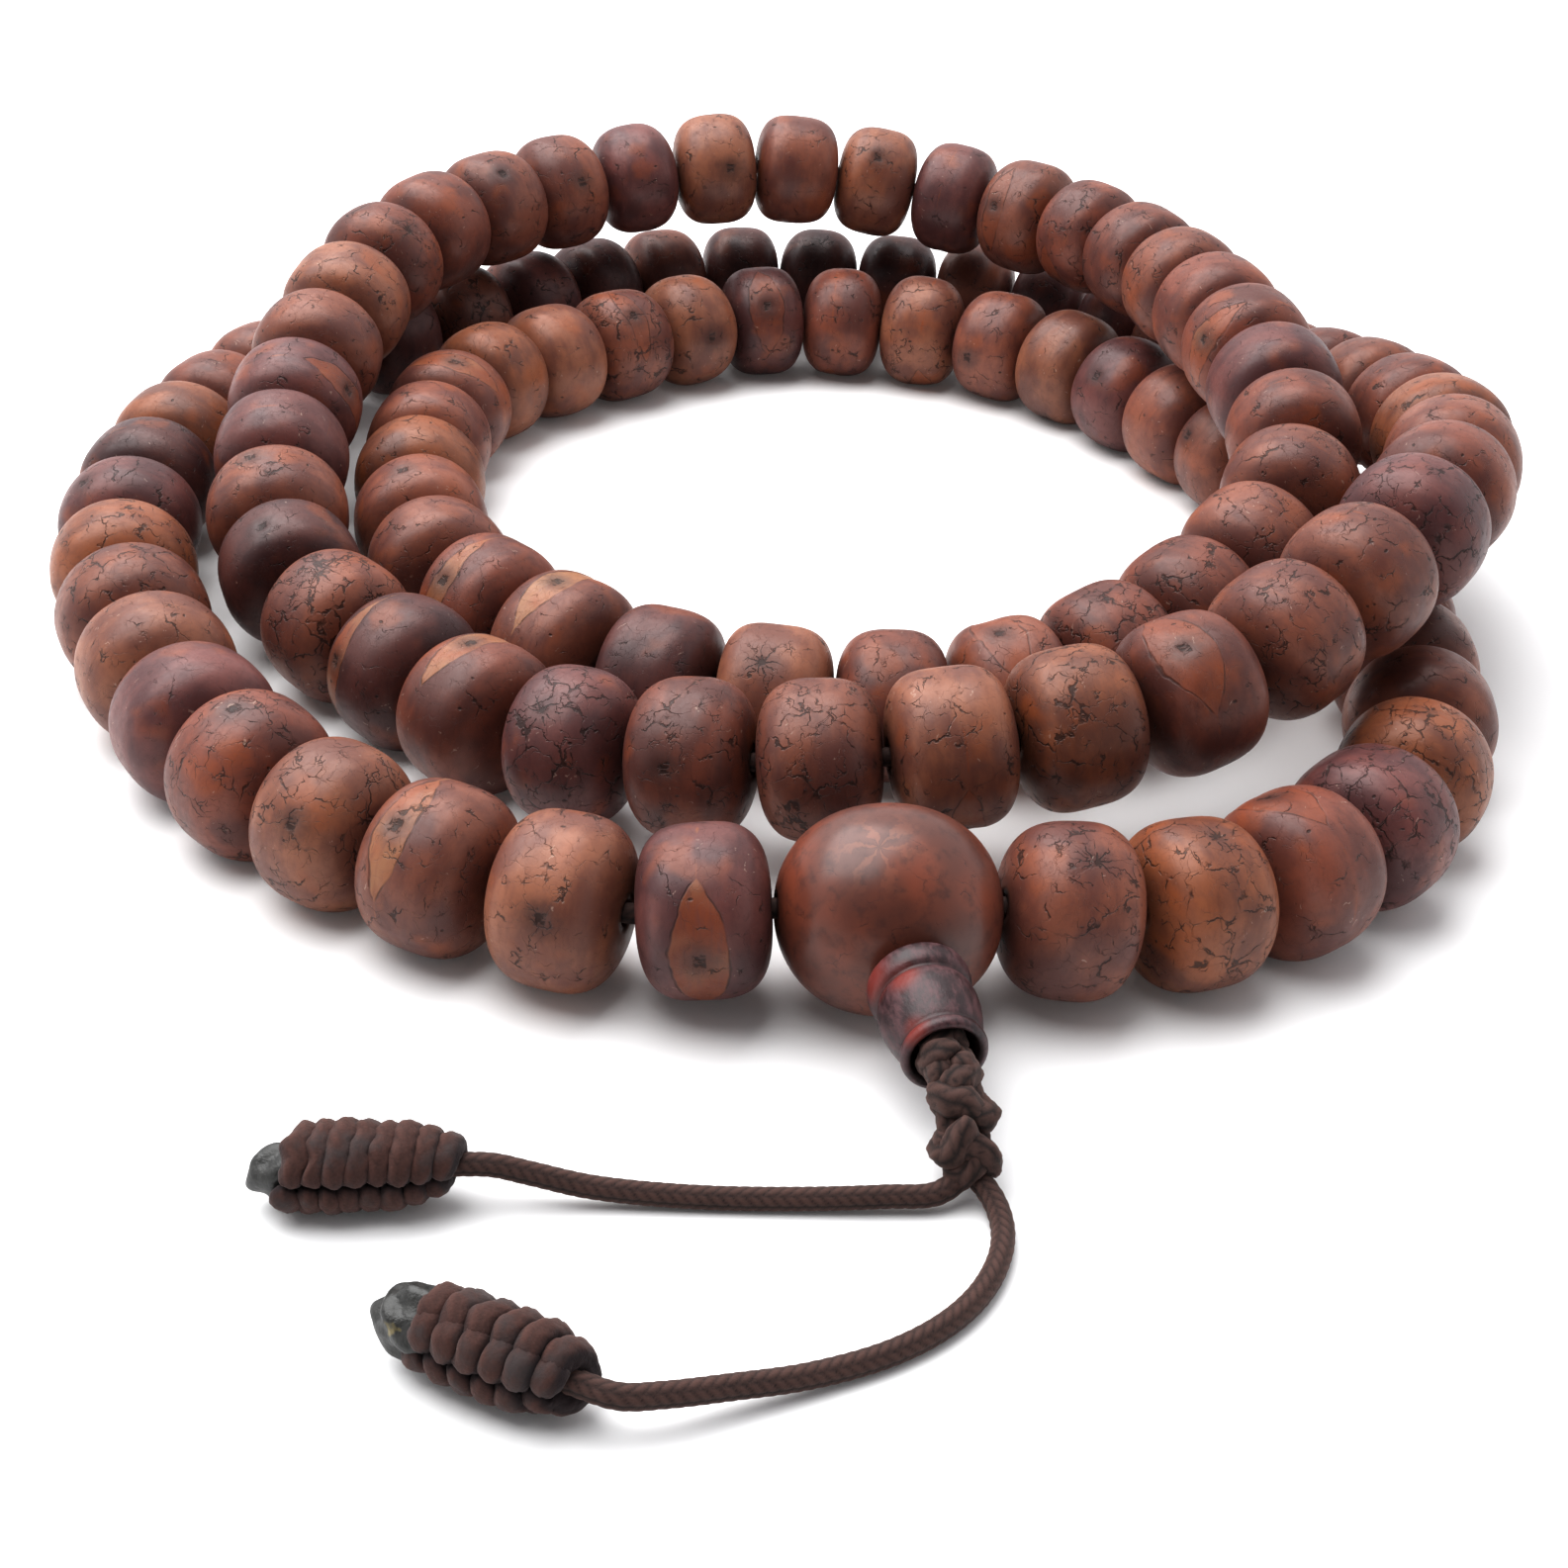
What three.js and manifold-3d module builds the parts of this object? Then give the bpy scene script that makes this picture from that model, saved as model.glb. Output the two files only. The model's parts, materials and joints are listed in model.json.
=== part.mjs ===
// A mala: 108 bored seed beads on one knotted cord, wound in three loose turns
// on a flat surface, with a three-hole guru bead, a turned tower bead and two
// knotted tails. Millimetres, +Z up, the surface it lies on is Z = 0. The guru
// bead and the tails face -Y.

import * as THREE from 'three';
import { mergeVertices } from 'three/addons/utils/BufferGeometryUtils.js';
import Module from 'manifold-3d';

const wasm = await Module();
wasm.setup();

// ---- driving dimensions ----------------------------------------------------

const BEAD_COUNT = 108;
const BEAD_R = 5.0;             // at the belt
const BEAD_HALF = 3.55;         // from the middle to the mouth of the bore
const BELT_HALF = 1.2;          // half the width of the cylindrical belt
const SHOULDER_R = 3.3;         // where the side turns into the end face
const SHOULDER_HALF = 3.05;
const BEAD_BORE_R = 1.0;
const BEAD_SIDES = 10;
const NECK_R = 2.2;             // contact spot between two beads of a joined run

const RUN_LENGTH = 6;           // beads in a joined run
const RUN_STARTS = [5, 11, 17, 23, 29, 47, 67, 73, 79, 85, 91, 97];

const GURU_R = 5.8;
const GURU_HALF = 6.1;
const GURU_BELT_HALF = 1.4;
const GURU_SIDES = 16;
const GURU_BORE_R = 1.3;
const GURU_REACH = 6.35;        // from the guru's middle to the first bead's gap
const DROP_HOLE_R = 1.65;       // the third hole, for both strands
const DROP_HOLE_LENGTH = 8;

const CORD_R = 0.6;
const CORD_SIDES = 8;
const HIDDEN_CORD_SIDES = 6;
const STRAND_OFFSET = 0.62;     // each strand from the middle of the drop
const CORD_STEP = 2.8;          // length of one straight piece of a tail

const TOWER_START = 6.2;        // distances along the drop, from the guru's middle
const TOWER_BORE_R = 1.6;
const TOWER_SIDES = 12;
const STRINGING_END = 4.6;
const STEM_START = 4.9;
const STEM_END = 13.5;
const UPPER_KNOT_R = 1.4;
const UPPER_KNOT_AT = 15.2;
const LOWER_KNOT_R = 1.75;
const KNOT_SIDES = 10;

const END_KNOT_R = 2.3;
const END_KNOT_LENGTH = 10;
const END_KNOT_BORE_R = 1.0;
const END_KNOT_TIP = 1.0;       // sealed length beyond the cord's end
const END_KNOT_SIDES = 10;
const END_KNOT_WRAPS = 4;
const END_KNOT_GROOVE = 0.25;

const GAP = 0.3;                // kept between two pieces that touch

const FLOOR = BEAD_R * Math.cos(Math.PI / BEAD_SIDES);           // bead resting on a facet
const GURU_FLOOR = GURU_R * Math.cos(Math.PI / GURU_SIDES);
const END_KNOT_FLOOR = END_KNOT_R * Math.cos(Math.PI / END_KNOT_SIDES) + 0.05;
const CORD_FLOOR = CORD_R + 0.02;
const LOWER_KNOT_AT = new THREE.Vector3(11.1, -66.8, 1.9);
const DROP_AXIS = new THREE.Vector3(0.23, -0.97, -0.06).normalize();
const UP = new THREE.Vector3(0, 0, 1);

// The middle line of the three turns, from the guru clockwise as seen from
// above: along the left, behind, then up over the right side and the front.
const ROUTE = [
  [7, -50.5, 6.2],              // guru
  [-8.5, -51.5, 5], [-29, -41, FLOOR], [-42, -22.5, FLOOR], [-48, -4.5, FLOOR],
  [-48, 15, FLOOR], [-41.5, 34.5, FLOOR], [-29, 47.5, FLOOR], [-12.5, 62, FLOOR],
  [12.5, 63, FLOOR], [28.5, 58, 4.9], [37.5, 46.5, 4.9],
  // second turn: climbs over the right side, lies on the front and the left
  [44.5, 29, 9.5], [48.5, 4, 14], [41, -16.5, 15.5], [34, -25, 13.5],
  [25.5, -32, 10.5], [4, -37.5, 7.5], [-16, -32.5, 5], [-23, -25.5, FLOOR],
  [-33.5, -15, 5.5], [-37, -4.5, 7], [-38.5, 5, 8.5], [-38.5, 17.5, 11],
  // its back stands on the first turn
  [-34.5, 37, 14.5], [-21, 54, 15.5], [-3.5, 59.5, 17], [13.5, 59.5, 15],
  [27.5, 47.5, 15], [36, 18.5, 15],
  // third turn: comes down inside the others
  [36.5, -2, 12.5], [30, -12.5, 9], [14.5, -24.5, 5.5], [-7.5, -24, FLOOR],
  [-15.5, -18.5, FLOOR], [-24, -10, FLOOR], [-29, 9.5, FLOOR], [-27.5, 29, FLOOR],
  [-17.5, 40.5, FLOOR], [-3.5, 51.5, FLOOR], [19, 48, FLOOR], [33.5, 30, FLOOR],
  // and out under the second turn, back to the guru
  [42, 8.5, FLOOR], [43, -10, FLOOR], [41.5, -28, FLOOR], [34, -40, 4.9],
  [23.5, -47.5, FLOOR],
];

// The tails, from the lower knot to the mouth of each end knot.
const LEFT_TAIL = [
  [9.7, -68.5, 0.9], [7.1, -68.9, 0.8], [2.5, -69.3, CORD_FLOOR], [-2.3, -69.6, CORD_FLOOR],
  [-7.2, -69.8, 1], [-10.2, -69.9, 1.7], [-12, -70, 2.15], [-13.7, -70.2, END_KNOT_FLOOR],
];
const LEFT_END_DIRECTION = new THREE.Vector3(-0.99, -0.12, 0).normalize();
const FRONT_TAIL = [
  [12.4, -68.7, 0.9], [12.8, -70.3, CORD_FLOOR], [12.6, -72.4, CORD_FLOOR],
  [11.6, -75, CORD_FLOOR], [9.9, -77.3, CORD_FLOOR], [7.3, -79.4, CORD_FLOOR],
  [3.7, -81.3, 0.8], [0.2, -82.8, 1.3], [-2.6, -84, 1.8], [-4.5, -84.6, 2.15],
  [-6.3, -84.1, END_KNOT_FLOOR],
];
const FRONT_END_DIRECTION = new THREE.Vector3(-0.95, 0.32, 0).normalize();

// ---- materials -------------------------------------------------------------

function seed(name, color) {
  return new THREE.MeshStandardMaterial({ name, color, roughness: 0.38, metalness: 0 });
}

const BEAD_COLORS = [0x7a4a36, 0x86543c, 0x6b4238, 0x94623f];
const GURU_COLOR = 0x74392c;
const TOWER_COLOR = 0x6e4046;
const CORD_COLOR = 0x3a2a24;

function cordMaterial() {
  return new THREE.MeshStandardMaterial({ color: CORD_COLOR, roughness: 0.85, metalness: 0 });
}

// ---- shared geometry helpers -----------------------------------------------

const vector = ([x, y, z]) => new THREE.Vector3(x, y, z);

// A piece placed with its local Y along the line from start to end, half way
// between them, and its local Z as near to up as that allows.
function frameBetween(start, end) {
  const along = end.clone().sub(start).normalize();
  const side = along.clone().cross(UP).normalize();
  const top = side.clone().cross(along);
  const frame = new THREE.Matrix4().makeBasis(side, along, top);
  return frame.setPosition(start.clone().lerp(end, 0.5));
}

function placed(name, geometry, material, frame) {
  const mesh = new THREE.Mesh(geometry, material);
  mesh.name = name;
  if (frame) frame.decompose(mesh.position, mesh.quaternion, mesh.scale);
  return mesh;
}

// A turned solid about local Y, with a facet, not an edge, facing down.
function turned(profile, sides) {
  const points = profile.map(([radius, along]) => new THREE.Vector2(radius, along));
  return new THREE.LatheGeometry(points, sides, Math.PI / sides);
}

// A curve made of straight pieces, sampled only at their ends.
class StraightPieces extends THREE.Curve {
  constructor(points) {
    super();
    this.points = points;
  }

  getPointAt(share, target = new THREE.Vector3()) {
    return target.copy(this.points[Math.round(share * (this.points.length - 1))]);
  }

  getTangentAt(share, target = new THREE.Vector3()) {
    const here = Math.round(share * (this.points.length - 1));
    const before = this.points[Math.max(here - 1, 0)];
    const after = this.points[Math.min(here + 1, this.points.length - 1)];
    const middle = this.points[here];
    target.copy(middle).sub(before).normalize();
    return target.add(after.clone().sub(middle).normalize()).normalize();
  }
}

function roundSection(radius, sides) {
  const corners = [];
  for (let i = 0; i < sides; i++) {
    const angle = (2 * Math.PI * (i + 0.5)) / sides;
    corners.push(new THREE.Vector2(radius * Math.cos(angle), radius * Math.sin(angle)));
  }
  return new THREE.Shape(corners);
}

function solidFrom(geometry) {
  const bare = geometry.clone();
  bare.deleteAttribute('normal');
  bare.deleteAttribute('uv');
  const merged = mergeVertices(bare, 1e-4);
  return new wasm.Manifold(new wasm.Mesh({
    numProp: 3,
    vertProperties: new Float32Array(merged.attributes.position.array),
    triVerts: new Uint32Array(merged.index.array),
  }));
}

function geometryFrom(solid) {
  const mesh = solid.getMesh();
  const geometry = new THREE.BufferGeometry();
  geometry.setAttribute('position', new THREE.BufferAttribute(mesh.vertProperties, mesh.numProp));
  geometry.setIndex(new THREE.BufferAttribute(mesh.triVerts, 1));
  geometry.computeVertexNormals();
  return geometry;
}

// ---- the loop's middle line -------------------------------------------------

const loop = new THREE.CatmullRomCurve3(ROUTE.map(vector), true, 'centripetal');
loop.arcLengthDivisions = 5000;
const loopLength = loop.getLength();
const beadPitch = (loopLength - 2 * GURU_REACH) / BEAD_COUNT;

// gaps[i] lies between bead i and bead i + 1; bead 1 follows the guru.
const gaps = [];
for (let i = 0; i <= BEAD_COUNT; i++) {
  gaps.push(loop.getPointAt((GURU_REACH + i * beadPitch) / loopLength));
}
const beadFrame = (bead) => frameBetween(gaps[bead - 1], gaps[bead]);

const guruCentre = gaps[0].clone().lerp(gaps[BEAD_COUNT], 0.5).setZ(GURU_FLOOR);
const guruAxis = gaps[0].clone().sub(gaps[BEAD_COUNT]).setZ(0).normalize();
const dropSide = UP.clone().cross(DROP_AXIS).negate().normalize();   // towards the first bead

function dropPoint(distance, offset = 0) {
  const point = guruCentre.clone().addScaledVector(DROP_AXIS, distance);
  return point.addScaledVector(dropSide, offset);
}

// ---- beads -----------------------------------------------------------------

// Outline of a straight string of beads, from its first face to its last and
// back through the bore. Neighbours are joined at a small contact spot.
function stringProfile(count) {
  const outline = [];
  for (let i = 0; i < count; i++) {
    const middle = (i + 0.5) * beadPitch;
    if (i > 0) outline.push([NECK_R, i * beadPitch]);
    else outline.push([BEAD_BORE_R, middle - BEAD_HALF]);
    outline.push([SHOULDER_R, middle - SHOULDER_HALF]);
    outline.push([BEAD_R, middle - BELT_HALF]);
    outline.push([BEAD_R, middle + BELT_HALF]);
    outline.push([SHOULDER_R, middle + SHOULDER_HALF]);
  }
  outline.push([BEAD_BORE_R, (count - 0.5) * beadPitch + BEAD_HALF]);
  for (let i = count - 1; i > 0; i--) outline.push([BEAD_BORE_R, i * beadPitch]);
  outline.push(outline[0]);
  return outline;
}

function beadGeometry() {
  return turned(stringProfile(1), BEAD_SIDES).translate(0, -beadPitch / 2, 0);
}

// Bends a straight string onto the beads' own frames. A point on a contact
// spot belongs to two beads and takes the middle of its two places.
function runGeometry(firstBead) {
  const geometry = turned(stringProfile(RUN_LENGTH), BEAD_SIDES);
  const frames = [];
  for (let i = 0; i < RUN_LENGTH; i++) frames.push(beadFrame(firstBead + i));
  const position = geometry.attributes.position;
  const point = new THREE.Vector3();
  for (let i = 0; i < position.count; i++) {
    point.fromBufferAttribute(position, i);
    const along = point.y / beadPitch;
    const low = THREE.MathUtils.clamp(Math.floor(along - 1e-3), 0, RUN_LENGTH - 1);
    const high = THREE.MathUtils.clamp(Math.floor(along + 1e-3), 0, RUN_LENGTH - 1);
    const local = (index) => new THREE.Vector3(point.x, (along - index - 0.5) * beadPitch, point.z);
    const lowPlace = local(low).applyMatrix4(frames[low]);
    const highPlace = local(high).applyMatrix4(frames[high]);
    position.setXYZ(i, ...lowPlace.lerp(highPlace, 0.5).toArray());
  }
  geometry.computeVertexNormals();
  return geometry;
}

const beadName = (bead) => `bead_${String(bead).padStart(3, '0')}`;
const beadMaterial = (bead) => seed('bodhi_seed', BEAD_COLORS[bead % BEAD_COLORS.length]);

function makeBeads() {
  const meshes = [];
  for (let bead = 1; bead <= BEAD_COUNT; bead++) {
    if (RUN_STARTS.includes(bead)) {
      const last = bead + RUN_LENGTH - 1;
      const name = `beads_${String(bead).padStart(3, '0')}_to_${String(last).padStart(3, '0')}`;
      meshes.push(placed(name, runGeometry(bead), beadMaterial(bead)));
      bead = last;
    } else {
      meshes.push(placed(beadName(bead), beadGeometry(), beadMaterial(bead), beadFrame(bead)));
    }
  }
  return meshes;
}

// ---- guru and tower ---------------------------------------------------------

function makeGuru() {
  const body = turned([
    [GURU_BORE_R, -GURU_HALF], [3.1, -5.5], [5.0, -3.7], [GURU_R, -GURU_BELT_HALF],
    [GURU_R, GURU_BELT_HALF], [5.0, 3.7], [3.1, 5.5], [GURU_BORE_R, GURU_HALF],
    [GURU_BORE_R, -GURU_HALF],
  ], GURU_SIDES);
  const frame = frameBetween(guruCentre.clone().sub(guruAxis), guruCentre.clone().add(guruAxis));
  const holeFrame = frameBetween(guruCentre, dropPoint(DROP_HOLE_LENGTH));
  const hole = new THREE.CylinderGeometry(DROP_HOLE_R, DROP_HOLE_R, DROP_HOLE_LENGTH, TOWER_SIDES);
  hole.applyMatrix4(frame.clone().invert().multiply(holeFrame));
  const drilled = solidFrom(body).subtract(solidFrom(hole));
  return placed('guru_bead', geometryFrom(drilled), seed('guru_seed', GURU_COLOR), frame);
}

// Turned outline: top rim, groove, body, second groove and bottom ring.
function makeTower() {
  const tower = turned([
    [TOWER_BORE_R, 0], [2.5, 0], [2.85, 0.6], [2.7, 1.5], [2.4, 1.75], [2.7, 2.3],
    [2.75, 3.4], [2.35, 4.9], [2.15, 5.15], [2.35, 5.7], [2.15, 6.8], [TOWER_BORE_R, 6.8],
    [TOWER_BORE_R, 0],
  ], TOWER_SIDES);
  const frame = frameBetween(dropPoint(TOWER_START), dropPoint(TOWER_START + 1));
  frame.setPosition(dropPoint(TOWER_START));
  return placed('tower_bead', tower, seed('rosewood', TOWER_COLOR), frame);
}

// ---- cords and knots --------------------------------------------------------

// Both ends turn into the guru's third hole; in between the cord runs straight
// through each bead and bends only in the gaps.
function makeStringingCord() {
  const points = [
    dropPoint(STRINGING_END, STRAND_OFFSET),
    dropPoint(0, STRAND_OFFSET),
    ...gaps,
    dropPoint(0, -STRAND_OFFSET),
    dropPoint(STRINGING_END, -STRAND_OFFSET),
  ];
  const tube = new THREE.ExtrudeGeometry(roundSection(CORD_R, HIDDEN_CORD_SIDES), {
    steps: points.length - 1,
    extrudePath: new StraightPieces(points),
  });
  return placed('stringing_cord', tube, cordMaterial());
}

// The two strands side by side through the tower: one flat-sided section.
function makeDropStrands() {
  const section = new THREE.Shape();
  section.absarc(STRAND_OFFSET, 0, CORD_R, -Math.PI / 2, Math.PI / 2);
  section.absarc(-STRAND_OFFSET, 0, CORD_R, Math.PI / 2, (3 * Math.PI) / 2);
  const depth = STEM_END - STEM_START;
  const strands = new THREE.ExtrudeGeometry(section, { depth, bevelEnabled: false, curveSegments: 4 });
  strands.rotateX(-Math.PI / 2);
  const frame = frameBetween(dropPoint(STEM_START), dropPoint(STEM_END));
  frame.setPosition(dropPoint(STEM_START));
  return placed('drop_strands', strands, cordMaterial(), frame);
}

function roundKnot(name, radius, centre) {
  const profile = [
    [0, -radius], [0.62 * radius, -0.78 * radius], [radius, -0.15 * radius],
    [radius, 0.15 * radius], [0.62 * radius, 0.78 * radius], [0, radius],
  ];
  const frame = frameBetween(centre, centre.clone().add(DROP_AXIS)).setPosition(centre);
  return placed(name, turned(profile, KNOT_SIDES), cordMaterial(), frame);
}

// A wrapped end knot: a blind bore takes the cord, and the far end is sealed.
function endKnotProfile() {
  const wrapLength = (END_KNOT_LENGTH - 2 * END_KNOT_TIP) / END_KNOT_WRAPS;
  const cordEnd = END_KNOT_LENGTH - END_KNOT_TIP;
  const outline = [[0, cordEnd], [END_KNOT_BORE_R, cordEnd], [END_KNOT_BORE_R, 0], [1.35, 0]];
  for (let i = 0; i < END_KNOT_WRAPS; i++) {
    const middle = END_KNOT_TIP / 2 + (i + 0.5) * wrapLength;
    const swell = Math.sin((Math.PI * (i + 0.9)) / (END_KNOT_WRAPS + 0.8));
    outline.push([END_KNOT_R * (0.72 + 0.28 * swell), middle]);
    if (i < END_KNOT_WRAPS - 1) {
      const valley = END_KNOT_R * (0.72 + 0.28 * swell) - END_KNOT_GROOVE;
      outline.push([valley, middle + wrapLength / 2]);
    }
  }
  outline.push([1.1, END_KNOT_LENGTH - 0.4], [0, END_KNOT_LENGTH]);
  return outline;
}

function makeTail(side, routePoints, endDirection) {
  const mouth = vector(routePoints[routePoints.length - 1]);
  const inside = END_KNOT_LENGTH - END_KNOT_TIP - GAP;
  const points = routePoints.map(vector);
  points.push(mouth.clone().addScaledVector(endDirection, inside / 2));
  points.push(mouth.clone().addScaledVector(endDirection, inside));
  const route = new THREE.CatmullRomCurve3(points, false, 'centripetal');
  const tube = new THREE.ExtrudeGeometry(roundSection(CORD_R, CORD_SIDES), {
    steps: Math.round(route.getLength() / CORD_STEP),
    extrudePath: route,
  });
  const frame = frameBetween(mouth, mouth.clone().add(endDirection)).setPosition(mouth);
  return [
    placed(`${side}_tail_cord`, tube, cordMaterial()),
    placed(`${side}_end_knot`, turned(endKnotProfile(), END_KNOT_SIDES), cordMaterial(), frame),
  ];
}

// ---- assembly ---------------------------------------------------------------

const beads = new THREE.Group();
beads.add(...makeBeads(), makeGuru(), makeStringingCord());

const drop = new THREE.Group();
drop.add(
  makeTower(),
  makeDropStrands(),
  roundKnot('upper_knot', UPPER_KNOT_R, dropPoint(UPPER_KNOT_AT)),
  roundKnot('lower_knot', LOWER_KNOT_R, LOWER_KNOT_AT),
);

const tails = new THREE.Group();
tails.add(...makeTail('left', LEFT_TAIL, LEFT_END_DIRECTION));
tails.add(...makeTail('front', FRONT_TAIL, FRONT_END_DIRECTION));

const mala = new THREE.Group();
mala.add(beads, drop, tails);

export default mala;
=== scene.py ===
"""The looks of a mala: 108 seed beads on one cord, a guru bead, a tower bead and two knotted tails."""

import json
import math

import bpy
import numpy as np
from mathutils import Matrix, Vector


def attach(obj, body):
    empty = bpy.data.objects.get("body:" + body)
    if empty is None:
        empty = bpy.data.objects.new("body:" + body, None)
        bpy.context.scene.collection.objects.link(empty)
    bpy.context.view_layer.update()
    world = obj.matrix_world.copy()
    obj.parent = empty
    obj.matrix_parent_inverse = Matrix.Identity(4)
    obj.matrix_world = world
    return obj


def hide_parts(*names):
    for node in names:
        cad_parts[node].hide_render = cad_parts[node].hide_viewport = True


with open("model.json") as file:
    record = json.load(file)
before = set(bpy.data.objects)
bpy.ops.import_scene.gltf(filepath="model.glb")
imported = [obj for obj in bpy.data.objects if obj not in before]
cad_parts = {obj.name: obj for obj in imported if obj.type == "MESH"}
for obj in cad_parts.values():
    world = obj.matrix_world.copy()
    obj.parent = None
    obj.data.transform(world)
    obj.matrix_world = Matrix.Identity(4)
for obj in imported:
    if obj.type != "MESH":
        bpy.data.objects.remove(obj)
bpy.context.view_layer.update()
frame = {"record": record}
record = frame["record"]
MM = 0.001

# ---- camera and stage --------------------------------------------------------

CAMERA_AT = (0.00087, -0.15499, 0.07343)
CAMERA_PITCH = math.radians(29.98)      # below the horizon
CAMERA_ROLL = math.radians(3.61)
CAMERA_LENS = 51.88                     # on a 36 mm sensor
FLOOR_SIDE = 4.0
FLOOR_CELLS = 40


def make_camera():
    data = bpy.data.cameras.new("camera")
    data.lens = CAMERA_LENS
    data.sensor_width = 36.0
    data.clip_start, data.clip_end = 0.01, 20.0
    camera = bpy.data.objects.new("camera", data)
    bpy.context.scene.collection.objects.link(camera)
    forward = Vector((0, math.cos(CAMERA_PITCH), -math.sin(CAMERA_PITCH)))
    level = Vector((1, 0, 0))
    upright = level.cross(forward)
    right = math.cos(CAMERA_ROLL) * level + math.sin(CAMERA_ROLL) * upright
    up = -math.sin(CAMERA_ROLL) * level + math.cos(CAMERA_ROLL) * upright
    turn = Matrix((right, up, -forward)).transposed().to_4x4()
    camera.matrix_world = Matrix.Translation(CAMERA_AT) @ turn
    bpy.context.scene.camera = camera


make_camera()

# ---- node helpers ------------------------------------------------------------


class Shader:
    """A material's node tree, with one call for each kind of node."""

    def __init__(self, name):
        self.material = bpy.data.materials.new(name)
        self.material.use_nodes = True
        self.tree = self.material.node_tree
        self.surface = self.tree.nodes["Principled BSDF"]

    def node(self, kind, inputs=(), **settings):
        made = self.tree.nodes.new(kind)
        for key, value in settings.items():
            setattr(made, key, value)
        for key, value in dict(inputs).items():
            self.feed(made.inputs[key], value)
        return made

    def feed(self, socket, value):
        if isinstance(value, bpy.types.NodeSocket):
            self.tree.links.new(value, socket)
        else:
            socket.default_value = value

    def math(self, operation, *values, clamp=False):
        made = self.node("ShaderNodeMath", enumerate(values), operation=operation, use_clamp=clamp)
        return made.outputs[0]

    def times(self, first, second):
        return self.math("MULTIPLY", first, second)

    def vector(self, operation, *values):
        return self.node("ShaderNodeVectorMath", enumerate(values), operation=operation).outputs[0]

    def distance(self, vector, point=(0, 0, 0)):
        made = self.node("ShaderNodeVectorMath", {0: vector, 1: point}, operation="DISTANCE")
        return made.outputs["Value"]

    def scaled(self, vector, x, y, z):
        return self.vector("MULTIPLY", vector, (x, y, z))

    def attribute(self, name, output):
        return self.node("ShaderNodeAttribute", attribute_name=name).outputs[output]

    def noise(self, vector, scale, detail=2.0, roughness=0.5, output="Fac"):
        inputs = {"Vector": vector, "Scale": scale, "Detail": detail, "Roughness": roughness}
        return self.node("ShaderNodeTexNoise", inputs).outputs[output]

    def drift(self, vector, scale, size, start, **settings):
        """Noise, times size, plus start."""
        return self.math("MULTIPLY_ADD", self.noise(vector, scale, **settings), size, start)

    def voronoi(self, vector, scale, feature="F1"):
        return self.node("ShaderNodeTexVoronoi", {"Vector": vector, "Scale": scale}, feature=feature)

    def ramp(self, value, low, high, to_low=0.0, to_high=1.0):
        """value from low..high to to_low..to_high, smoothly, held outside."""
        inputs = {
            "Value": value, "From Min": low, "From Max": high, "To Min": to_low, "To Max": to_high}
        made = self.node("ShaderNodeMapRange", inputs, interpolation_type="SMOOTHSTEP")
        return made.outputs["Result"]

    def mix(self, share, first, second):
        made = self.node("ShaderNodeMix", data_type="RGBA")
        colours = [s for s in made.inputs if s.type == "RGBA"]
        self.feed(made.inputs["Factor"], share)
        self.feed(colours[0], first)
        self.feed(colours[1], second)
        return next(s for s in made.outputs if s.type == "RGBA")

    def bump(self, height, depth):
        inputs = {"Height": height, "Distance": depth, "Strength": 1.0}
        return self.node("ShaderNodeBump", inputs).outputs["Normal"]

    def finish(self, **inputs):
        for key, value in inputs.items():
            self.feed(self.surface.inputs[key.replace("_", " ")], value)
        return self.material


def rgb(red, green, blue):
    """A linear colour as Blender wants it."""
    return (red, green, blue, 1.0)


# ---- curves ------------------------------------------------------------------

SAMPLES = 60       # between two points of a route


def catmull_rom(points, closed):
    """Samples of the centripetal Catmull-Rom curve through points."""
    points = np.array(points, float)
    if closed:
        ring = np.vstack([points[-1], points, points[0], points[1]])
    else:
        ring = np.vstack([2 * points[0] - points[1], points, 2 * points[-1] - points[-2]])
    found = []
    share = np.linspace(0, 1, SAMPLES, endpoint=False)[:, None]
    for i in range(len(ring) - 3):
        p0, p1, p2, p3 = ring[i:i + 4]
        d0, d1, d2 = (math.sqrt(np.linalg.norm(b - a)) for a, b in ((p0, p1), (p1, p2), (p2, p3)))
        t1 = ((p1 - p0) / d0 - (p2 - p0) / (d0 + d1) + (p2 - p1) / d1) * d1
        t2 = ((p2 - p1) / d1 - (p3 - p1) / (d1 + d2) + (p3 - p2) / d2) * d1
        square = (3 * (p2 - p1) - 2 * t1 - t2) * share**2
        found.append(p1 + t1 * share + square + (2 * (p1 - p2) + t1 + t2) * share**3)
    found.append(ring[-2][None])
    return np.vstack(found)


def length_along(points):
    steps = np.linalg.norm(np.diff(points, axis=0), axis=1)
    return np.concatenate([[0.0], np.cumsum(steps)])


def at_lengths(points, wanted):
    along = length_along(points)
    return np.stack([np.interp(wanted, along, points[:, k]) for k in range(3)], axis=1)


def evenly(points, step):
    """The same line with points about step apart."""
    total = length_along(points)[-1]
    return at_lengths(points, np.linspace(0, total, max(2, round(total / step)) + 1))


# ---- meshes ------------------------------------------------------------------


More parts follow.
